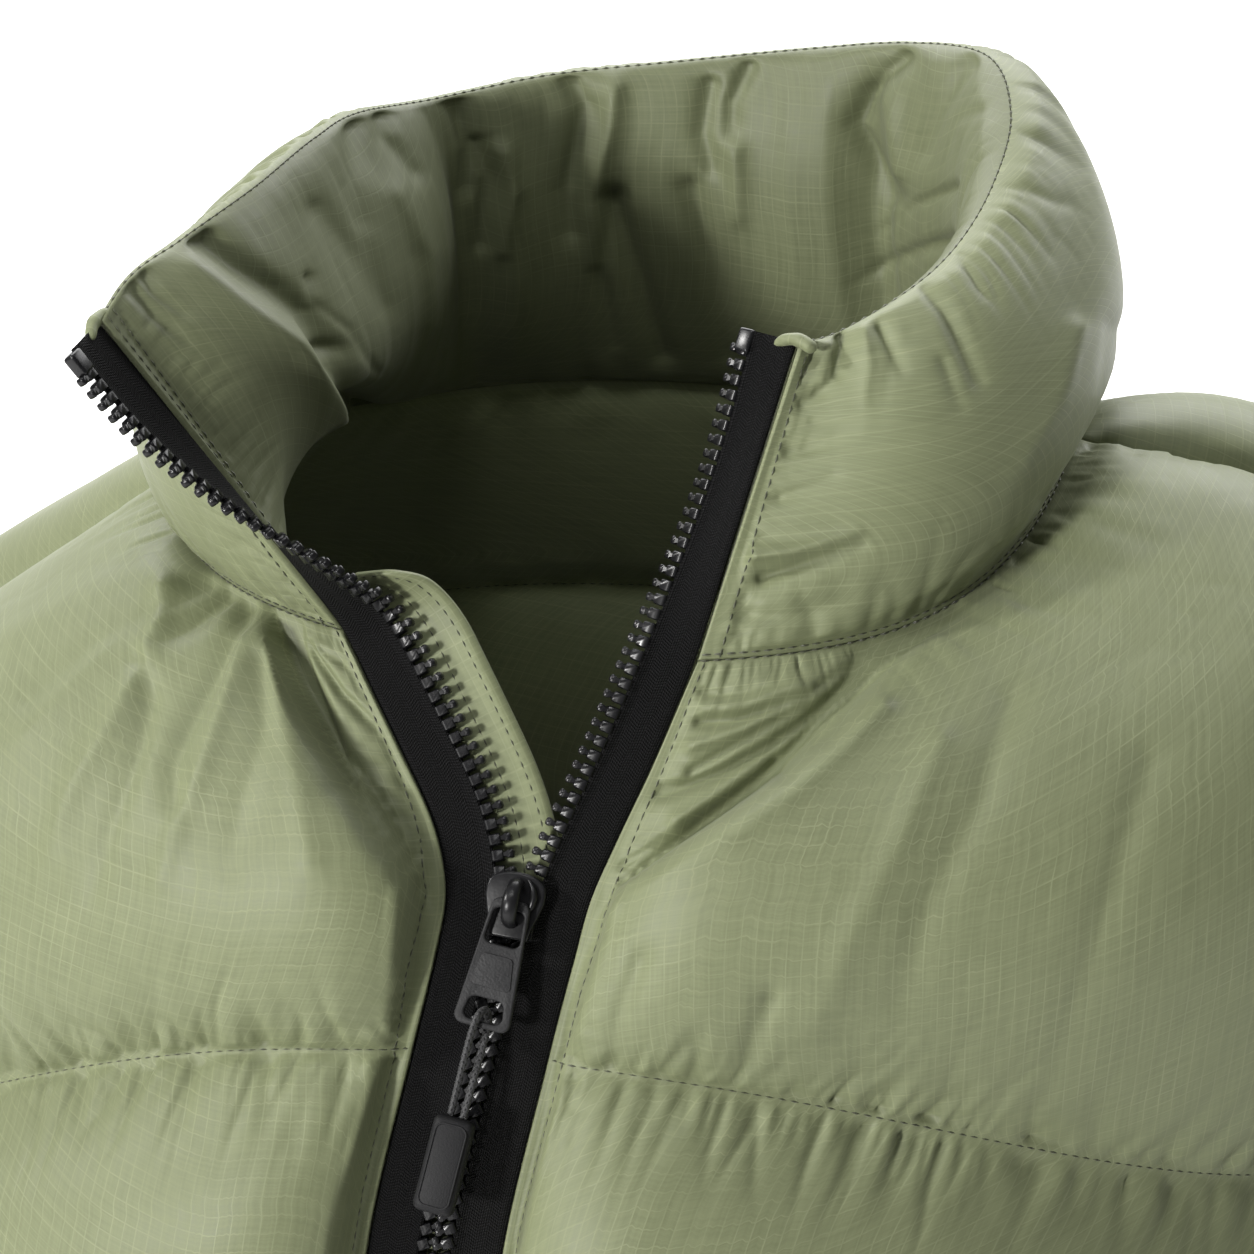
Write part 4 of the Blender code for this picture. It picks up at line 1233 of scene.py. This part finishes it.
def make_sleeves():
    sections, angles = lines((0, 6, 186)), lines((180, 540, 132))
    for side, name in SIDES:
        points, normals, thick = sleeve_base(side, sections, angles)
        base = points - normals * SEAM
        seams = seam_rows(sections)
        thick = 2 * SEAM + (thick - 2 * SEAM) * pinch(from_sides(points), SLEEVE_REACH)
        pinned = hold_borders(thick.shape, seams)
        filled = puff_skin(base, normals, thick, pinned, seams, 0.0, double=False)
        x, base, normals, smooth = filled
        for seam in seams[1:]:
            stitch_line(x[seam], normals[seam])
        node = "sleeve_" + name
        obj = grid_mesh(node + "_skin", x, cloth_cut(smooth), flip=side < 0)
        dress(obj, SHELL, "shell", node)
        sections_in = lines((0, 6, 60))
        inner_points, inner_normals, _ = sleeve_base(side, sections_in, lines((180, 540, 60)))
        wave = noise(inner_points.shape[:2], 2, 3) * 0.8
        wave[:, -1] = wave[:, 0]
        wave[-2:] = 0
        hollow = inner_points - inner_normals * (SEAM - 0.3 + 0.9 + wave)[..., None]
        hollow[-1] = inner_points[-1] + inner_normals[-1] * SEAM
        inner = grid_mesh(node + "_inside", hollow, cloth_cut(inner_points), flip=side > 0)
        dress(inner, LINING_PAINTED_LIGHT, "lining", node)


def make_linings():
    quilt = [0.0, 0.75, 1.75, 2.75, 3.75, 4.75, 5.75, 7.0]
    rows = lines(*[(a, b, 10 if a < 1.7 else 7) for a, b in zip(quilt[:-1], quilt[1:])])
    seams = [int(np.argmin(np.abs(rows - q))) for q in quilt]
    place = np.interp(rows, quilt, np.arange(len(quilt)))
    swell = np.abs(np.sin(np.pi * place))[:, None] ** 0.6
    for name in ("front_left", "front_right", "back"):
        if name == "back":
            points, normals, _ = back_base(rows, lines((0, 1, 76)))
        else:
            points, normals, _ = front_base(1 if name == "front_left" else -1, rows, lines((0, 1, 54)))
        out = -normals
        base = points + out * (GAP / 2)
        height = 1.0 + LINING_PUFF * swell * pinch(from_sides(points), LINING_REACH)
        height = np.minimum(height, 1.0 + arc(points, 0) * 0.5)
        pinned = hold_borders(height.shape, seams)
        filled = puff_skin(base, out, height, pinned, seams, 0.0, edge_gather=0.6, pucker=0.8, swell=0.6)
        x, base, out, smooth = filled
        cut = cloth_cut(smooth)
        for seam in seams[1:-1]:
            stitch_line(x[2 * seam], out[2 * seam])
        closed, uv = close_border(x, base, cut)
        obj = grid_mesh("lining_" + name + "_cloth", closed, uv, flip=name == "front_right")
        dress(obj, LINING_PAINTED_LIGHT, "lining", "lining_" + name)


# ---------------------------------------------------------------- zip


def zip_along(side, start, end, step):
    """Finely spaced places on one front edge, evenly spread along it."""
    at = np.linspace(start, end, 1200)
    line = edge_point(side, at)
    length = arc(line, 0)
    count = max(int(round(length[-1] / step)), 2)
    return np.interp(np.linspace(0, length[-1], count + 1), length, at)


def smooth_frame(side, at):
    """Zip edge with its corner at the neck seam eased, as tape bends."""
    fine = zip_along(side, -7.0, 1.0, 1.0)
    line, away, _ = zip_edge(side, fine)
    def eased(values, reach):
        kernel = np.exp(-0.5 * (np.arange(-3 * reach, 3 * reach + 1) / reach) ** 2)
        kernel /= kernel.sum()
        ends = 3 * reach
        first = 2 * values[:1] - values[ends:0:-1]
        last = 2 * values[-1:] - values[-2:-ends - 2:-1]
        padded = np.concatenate([first, values, last])
        return np.stack([np.convolve(padded[:, k], kernel, mode="valid") for k in range(3)], axis=-1)
    line, away = eased(line, 5), eased(away, 9)
    along = unit(np.gradient(line, axis=0))
    away = unit(away - along * np.sum(away * along, axis=-1, keepdims=True))
    line, away, along = (read_between(at, fine, values) for values in (line, away, along))
    away, along = unit(away), unit(along)
    away = unit(away - along * np.sum(away * along, axis=-1, keepdims=True))
    return line, away, unit(np.cross(along, away)) * side


def wrapped_cut(across, down):
    """Cut pattern in metres of a strip's face and back, from places across it and distances down it."""
    turn = np.concatenate([across, across[::-1], across[:1]]) * 0.001
    return np.stack(np.broadcast_arrays(turn[None], down), axis=-1)


def make_tapes():
    half = TAPE_THICK / 2
    reach = GAP + TAPE_WIDTH
    for side, name in SIDES:
        at = zip_along(side, -7.0, 1.0, 2.2)
        line, away, normal = smooth_frame(side, at)
        across = np.concatenate([np.linspace(GAP, reach - 1.6, 7), [reach - 1.0, reach - 0.4, reach]])
        lift = np.concatenate([np.full(7, half), [half + 0.5, half + 0.5, half * 0.6]])
        wave = noise((len(at), 1), 5, 0)[:, 0] * 0.12
        top, back = [], []
        for a, h in zip(across, lift):
            top.append(line + away * a + normal * (h + wave[:, None] * 0.5 - half * 0.2))
            back.append(line + away * a - normal * (h - wave[:, None] * 0.5 - half * 0.2))
        points = np.stack(top + back[::-1] + [top[0]], axis=1)
        cut = wrapped_cut(across, arc(points, 0)[:, :1] * 0.001)
        ends = [points[:1].mean(axis=1, keepdims=True), points[-1:].mean(axis=1, keepdims=True)]
        first, last = (np.repeat(end, points.shape[1], axis=1) for end in ends)
        points = np.concatenate([first, points, last])
        cut = np.concatenate([cut[:1], cut, cut[-1:]])
        obj = grid_mesh("tape_" + name, points, cut, flip=side < 0)
        weld(obj)
        dress(obj, TAPE, "tape", "zip_tape_" + name)


def tooth_solid():
    """One moulded tooth: a block on the tape's edge, a neck and a rounded head. X runs away from the tape."""
    flank = [
        (-0.2, -1.30), (0.3, -1.42), (2.5, -1.42), (2.95, -1.25), (3.25, -0.72), (3.9, -0.68),
        (4.35, -0.98), (4.95, -1.06), (5.40, -0.84), (5.56, -0.32),
    ]
    outline = np.array(flank + [(x, -y) for x, y in flank[::-1]])
    centre = np.array([2.4, 0.0])
    levels = ((-1.5, 0.42), (-1.22, 0.12), (-0.8, 0.0), (0.8, 0.0), (1.22, 0.12), (1.5, 0.42))
    rings = []
    for z, inset in levels:
        narrow = outline + unit(centre - outline) * inset
        height = np.where(outline[:, 0] > 3.1, z * 0.78, z)
        rings.append(np.concatenate([narrow, height[:, None]], axis=1))
    return np.concatenate(rings), ring_faces(len(levels), len(outline))


def placed(verts, origin, across, along, normal):
    turn = np.stack([across, along, normal], axis=-1)
    return origin[:, None, :] + np.einsum("nij,vj->nvi", turn, verts)


TOOTH_PITCH = 3.8
# Where a tooth starts on its tape, and where the middle of the closed chain runs on the tooth.
TOOTH_ROOT = GAP + TAPE_WIDTH - 0.4
TOOTH_CENTRE = 4.75


def make_teeth():
    verts, quads = tooth_solid()
    split = -SLIDER_ROW
    for side, name in SIDES:
        blocks = []
        shift = 0.25 if side > 0 else 0.75
        for start, end, closed in ((split + 0.02, 0.955, False), (-BOX_TOP, split - 0.02, True)):
            at = np.linspace(start, end, 2400)
            line, away, normal = smooth_frame(side, at)
            length = arc(line + away * TOOTH_ROOT, 0)
            rows = np.interp(np.arange(shift * TOOTH_PITCH, length[-1], TOOTH_PITCH), length, at)
            line, away, normal = smooth_frame(side, rows)
            along = np.cross(normal, away)
            origin = line + away * TOOTH_ROOT
            if closed:
                other, other_away, _ = smooth_frame(-side, rows)
                centre = (origin + other + other_away * TOOTH_ROOT) / 2
                away = unit(centre - origin)
                origin = centre - away * TOOTH_CENTRE
                along = np.cross(normal, away)
                normal = np.cross(away, along)
            spots = placed(verts, origin, away, along, normal)
            face = quads[None] + (np.arange(len(spots)) * len(verts))[:, None, None]
            blocks.append((spots.reshape(-1, 3), face.reshape(-1, 4)))
        obj = raw_mesh("teeth_" + name, *together(blocks))
        dress(obj, TOOTH, "teeth", "zip_chain_" + name)
        soft_edges(obj, 50)
        line, away, normal = smooth_frame(side, np.array([0.965]))
        along = np.cross(normal, away)
        place = line[0] + away[0] * (GAP + TAPE_WIDTH + 1.2)
        stop = rounded_box("stop_" + name, (4.4, 6.0, 3.6), 0.8, place, away[0], along[0], normal[0])
        dress(stop, TOOTH, "teeth", "zip_stop_" + name)


def soft_edges(obj, angle):
    obj.data.set_sharp_from_angle(angle=math.radians(angle))


def rounded_box(name, size, round_by, origin, across, along, normal):
    """Box with rounded edges, its own X, Y and Z along the given directions."""
    mesh = bpy.data.meshes.new(name)
    shape = bmesh.new()
    bmesh.ops.create_cube(shape, size=1.0)
    for vertex in shape.verts:
        vertex.co = Vector([place * wide for place, wide in zip(vertex.co, size)])
    bmesh.ops.bevel(shape, geom=shape.edges[:], offset=round_by, segments=4, profile=0.5, affect="EDGES")
    shape.transform(placement(origin, across, along, normal))
    shape.transform(Matrix.Scale(0.001, 4))
    bmesh.ops.recalc_face_normals(shape, faces=shape.faces[:])
    for face in shape.faces:
        face.smooth = True
    shape.to_mesh(mesh)
    shape.free()
    return add_object(name, mesh)


def make_guard():
    at = zip_along(-1, -6.95, GUARD_TOP, 2.6)
    line, away, normal = smooth_frame(-1, at)
    depth = (GAP / 2 + LINING + np.interp(at, [-0.40, -0.06, GUARD_TOP], [1.0, 2.2, 2.8]))[:, None]
    across = np.linspace(-GUARD_BACK, GUARD_WIDTH - GUARD_BACK, 15)
    wave = noise((len(at), len(across)), 7, 4) * 0.8 * np.clip((across + 6) / 20, 0, 1)[None, :]
    edge = np.clip((across - (GUARD_WIDTH - GUARD_BACK - 6)) / 6, 0, 1)
    swell = 1.6 * np.sin(np.pi * np.clip((across + 4) / 26, 0, 1))
    top_round = np.sqrt(np.clip(1 - (1 - np.clip((GUARD_TOP - at) / 0.22, 0, 1)) ** 2, 0, 1))
    spread_across = -GUARD_BACK + (across + GUARD_BACK)[None, :] * (0.45 + 0.55 * top_round[:, None])
    level = -depth - 0.8 + wave * 0.7 + (swell - 0.9 * edge)[None, :] * 0.5
    middle = line[:, None] + away[:, None] * spread_across[..., None] + normal[:, None] * level[..., None]
    face = np.broadcast_to(normal[:, None], middle.shape)
    front, back = middle + face * 0.8, middle - face * 0.8
    points = np.concatenate([front, back[:, ::-1], front[:, :1]], axis=1)
    long = arc(middle, 0)[:, :1] * 0.001
    points, cut = finer(points, 0), finer(wrapped_cut(across, long), 0)
    ends = []
    for row in (points[:1], points[-1:]):
        count = len(across)
        middle_line = (row[:, :count] + row[:, count:2 * count][:, ::-1]) / 2
        ends.append(np.concatenate([middle_line, middle_line[:, ::-1], middle_line[:, :1]], axis=1))
    points = np.concatenate([ends[0], points, ends[1]])
    cut = np.concatenate([cut[:1], cut, cut[-1:]])
    obj = grid_mesh("guard_cloth", points, cut, flip=True)
    weld(obj)
    dress(obj, LINING_PAINTED_LIGHT, "lining", "zip_guard")
    for back_by in (3.0, 9.0):
        place = np.array([read_between(GUARD_WIDTH - GUARD_BACK - back_by, across, row) for row in front])
        stitch_line(place, normal, lift=0.1)


def make_caps():
    """The collar's cloth folded over the top end of each tape."""
    for side, name in SIDES:
        line, away, normal = smooth_frame(side, np.array([0.97, 1.0]))
        up = unit(line[1] - line[0])
        turn = np.eye(4)
        turn[:3] = np.stack([normal[1], away[1], up, line[1]], axis=-1)
        t = np.linspace(0, 1, 22)
        bow = np.sin(np.pi * t)
        path = np.stack([0.6 * bow, -5.5 + 11.5 * t, -0.9 + 1.5 * bow - t**3], axis=-1)
        radius = (2.0 - 0.7 * t) * np.sqrt(1 - np.abs(2 * t - 1) ** 5 * 0.97)
        radius = radius * (1 + 0.05 * np.sin(t * 17 + side))
        obj = tube("tape_cap_" + name, path, radius, turn, squash=1.15, steps=18)
        layer = obj.data.uv_layers.new(name="cut")
        index = np.empty(len(obj.data.loops), np.int32)
        obj.data.loops.foreach_get("vertex_index", index)
        place = np.empty(len(obj.data.vertices) * 3, np.float32)
        obj.data.vertices.foreach_get("co", place)
        flat = place.reshape(-1, 3)[index] @ np.stack([away[1], up], axis=-1)
        layer.uv.foreach_set("vector", flat.astype(np.float32).ravel())
        dress(obj, SHELL, "shell")


def make_zip_box():
    at = chain_frame((BOX_TOP + 7) / 2)
    box = rounded_box("zip_foot", (8.6, 11.6, 5.0), 1.4, at.translation, *axes_of(at))
    dress(box, TOOTH, "teeth", "zip_box")


# ---------------------------------------------------------------- slider and pull


def flat_solid(name, outline, holes, low, high, bevel, frame):
    """Plate cut to an outline with windows, rounded along its edges, in a frame in millimetres."""
    curve = bpy.data.curves.new(name, "CURVE")
    curve.dimensions = "2D"
    curve.fill_mode = "BOTH"
    for loop in [outline, *holes]:
        line = curve.splines.new("POLY")
        line.points.add(len(loop) - 1)
        line.use_cyclic_u = True
        for point, (x, y) in zip(line.points, loop):
            point.co = (x, y, 0, 1)
    curve.extrude = max((high - low) / 2 - bevel, 0.01)
    curve.bevel_depth = bevel
    curve.bevel_resolution = 3
    curve.offset = -bevel
    holder = add_object(name + "_outline", curve)
    bpy.context.view_layer.update()
    mesh = bpy.data.meshes.new_from_object(holder.evaluated_get(bpy.context.evaluated_depsgraph_get()))
    bpy.data.objects.remove(holder, do_unlink=True)
    bpy.data.curves.remove(curve)
    mesh.transform(Matrix.Translation((0, 0, (low + high) / 2)))
    mesh.transform(frame)
    mesh.transform(Matrix.Scale(0.001, 4))
    mesh.name = name
    obj = add_object(name, mesh)
    for face in mesh.polygons:
        face.use_smooth = True
    weld(obj)
    return obj


def weld(obj):
    shape = bmesh.new()
    shape.from_mesh(obj.data)
    bmesh.ops.remove_doubles(shape, verts=shape.verts[:], dist=1e-6)
    bmesh.ops.recalc_face_normals(shape, faces=shape.faces[:])
    shape.to_mesh(obj.data)
    shape.free()


CORNER_STEPS = 6


def rounded_loop(wide, tall, centre, radius, taper=0.0):
    """Rounded rectangle, wider at its foot by a taper."""
    points = []
    for sx, sy, first in ((1, 1, 0), (-1, 1, 90), (-1, -1, 180), (1, -1, 270)):
        half = wide / 2 - taper / 2 * sy
        cx, cy = centre[0] + sx * (half - radius), centre[1] + sy * (tall / 2 - radius)
        for k in range(CORNER_STEPS + 1):
            angle = math.radians(first + 90 * k / CORNER_STEPS)
            points.append((cx + radius * math.cos(angle), cy + radius * math.sin(angle)))
    return points


def tube(name, path, radius, at, squash=1.0, steps=14):
    """Tube with flat ends along a path in a placement, with a radius at each point of the path."""
    path, at = np.asarray(path, float), np.array(at)
    side = unit(np.cross(unit(np.gradient(path, axis=0)), X_AXIS))
    rings = []
    for place, out, wide in zip(path, side, radius):
        for k in range(steps):
            angle = math.tau * k / steps
            rings.append(place + X_AXIS * wide * squash * math.cos(angle) + out * wide * math.sin(angle))
    rings = np.array(rings) @ at[:3, :3].T + at[:3, 3]
    obj = raw_mesh(name, rings, ring_faces(len(path), steps))
    weld(obj)
    return obj


def join_pieces(name, objects):
    """One mesh object from several that carry the same material."""
    base = bmesh.new()
    for obj in objects:
        base.from_mesh(obj.data)
        mesh = obj.data
        bpy.data.objects.remove(obj, do_unlink=True)
        bpy.data.meshes.remove(mesh)
    mesh = bpy.data.meshes.new(name)
    base.to_mesh(mesh)
    base.free()
    return add_object(name, mesh)


def make_slider():
    at = chain_frame(SLIDER_ROW)
    axes, origin = axes_of(at), np.array(at.translation)
    lift = SLIDER_LIFT
    top = lift + PLATE
    crown = []
    for k in range(13):
        angle = math.radians(180 - 180 * k / 12)
        crown.append((7.4 * math.cos(angle), 3.6 + 4.6 * math.sin(angle) ** 0.8))
    flank = [(7.4, 1.5), (6.4, -2.0), (5.3, -5.2), (4.9, -8.0)]
    outline = (crown + flank + [(-x, y) for x, y in flank[::-1]])[::-1]
    smaller = [(x * 0.86, y * 0.92) for x, y in outline]
    front = flat_solid("slider_front", outline, [], lift, top, 0.7, at)
    back = flat_solid("slider_back", smaller, [], -lift - 1.4, -lift, 0.4, at)
    post = rounded_box("slider_post", (2.0, 3.0, 6.4), 0.4, origin + axes[1] * 6.2 + axes[2] * 0.5, *axes)
    arch, wide = [], []
    for k in range(25):
        t = k / 24
        bow = math.sin(math.pi * t)
        arch.append((0.0, -4.6 + 10.4 * t, top - 0.5 + 5.0 * bow**0.42))
        wide.append(1.05 + 0.15 * bow)
    bail = tube("slider_bail", arch, wide, at, squash=1.7)
    hook = [(3.4, -1.6, 0.2), (4.6, 0.4, 0.9), (4.9, 2.8, 0.9), (4.2, 5.0, 0.5), (2.8, 6.6, 0.0)]
    claw = tube("slider_claw", [(x, y, top + z) for x, y, z in hook], [0.5, 0.8, 0.9, 0.8, 0.5], at)
    flanges = []
    for side in (-1, 1):
        place = origin + axes[0] * side * 4.9 + axes[1] * -3.2 + axes[2] * (lift - 0.5)
        flanges.append(rounded_box("slider_lip", (1.3, 9.0, 1.4), 0.4, place, *axes))
    whole = join_pieces("slider_body", [front, back, post, bail, claw, *flanges])
    soft_edges(whole, 60)
    dress(whole, METAL, "slider", "zip_slider")


def make_pull():
    at = pull_frame()
    axes, origin = axes_of(at), np.array(at.translation)
    outline = rounded_loop(11.9, 31.6, (0, -15.0), 2.3, taper=2.2)
    upper = rounded_loop(8.3, 8.8, (0, -6.0), 1.7, taper=0.5)
    lower = rounded_loop(9.2, 5.6, (0, -26.4), 1.8, taper=0.4)
    face = rounded_loop(9.0, 8.0, (0, -16.9), 1.2, taper=0.9)
    tab = flat_solid("tab_plate", outline, [upper[::-1], lower[::-1]], -PIN / 2, PIN / 2, 0.55, at)
    raised = flat_solid("tab_face", face, [], PIN / 2 - 0.05, PIN / 2 + 0.28, 0.14, at)
    whole = join_pieces("tab_body", [tab, raised])
    soft_edges(whole, 60)
    dress(whole, GRAIN, "pull", "pull_tab", body="pull")
    middle = (0, -64.7)
    end = rounded_box("grip_body", (10.2, 23.6, 5.0), 1.9, origin + axes[1] * -64.7 + axes[2] * 0.6, *axes)
    inner = rounded_loop(7.2, 19.6, middle, 1.8)[::-1]
    rim = flat_solid("grip_rim", rounded_loop(8.2, 20.6, middle, 2.2), [inner], 2.8, 3.3, 0.18, at)
    grip = join_pieces("grip_end", [end, rim])
    soft_edges(grip, 60)
    dress(grip, GUM, "pull_rubber", "pull_end", body="pull")
    return grip


def make_cord():
    """Braided cord: six strands wound round the route, three each way, with the route's own length."""
    at = pull_frame()
    route = track([(i, *p) for i, p in enumerate(CORD_ROUTE)], np.linspace(0, len(CORD_ROUTE) - 1, 181))
    turn = np.array(at)
    steps = arc(route, 0)
    ahead = unit(np.gradient(route, axis=0))
    first = unit(np.cross(ahead, np.array([0.35, 0.1, 1.0])))
    second = np.cross(ahead, first)
    quads, verts, base = [], [], 0
    around, n = 8, len(route)
    i = np.arange(n - 1)
    for strand in range(6):
        way = 1 if strand % 2 == 0 else -1
        turns = steps / 5.2 * math.tau * way + math.tau * strand / 6
        spoke = first * np.cos(turns)[:, None] + second * np.sin(turns)[:, None]
        weave = 0.62 + 0.08 * np.cos(turns * 3)
        centre = route + spoke * weave[:, None] * CORD_THICK / 2
        out = unit(spoke)
        flat = unit(np.cross(unit(np.gradient(centre, axis=0)), out))
        for k in range(around):
            angle = math.tau * k / around
            verts.append(centre + flat * math.cos(angle) * 0.46 + out * math.sin(angle) * 0.30)
        for k in range(around):
            a, b = base + k * n, base + (k + 1) % around * n
            quads.append(np.stack([a + i, b + i, b + i + 1, a + i + 1], axis=-1))
        for end, order in ((0, 1), (n - 1, -1)):
            for k in range(around // 2 - 1):
                loop = [base + v * n + end for v in (k, k + 1, around - 2 - k, around - 1 - k)][::order]
                quads.append(np.array([loop]))
        base += around * n
    verts = np.concatenate(verts) @ turn[:3, :3].T + turn[:3, 3]
    cord = raw_mesh("cord_braid", verts, np.concatenate(quads))
    dress(cord, CORD_THREAD, "cord", "pull_cord", body="pull")


# ---------------------------------------------------------------- the whole

set_camera()
grip = make_pull()
make_cord()
set_studio()
make_fronts()
make_back()
make_collar()
make_sleeves()
make_linings()
make_tapes()
make_teeth()
make_guard()
make_caps()
make_zip_box()
make_slider()
dress(sew_all("stitches"), SEAM_THREAD, "shell")
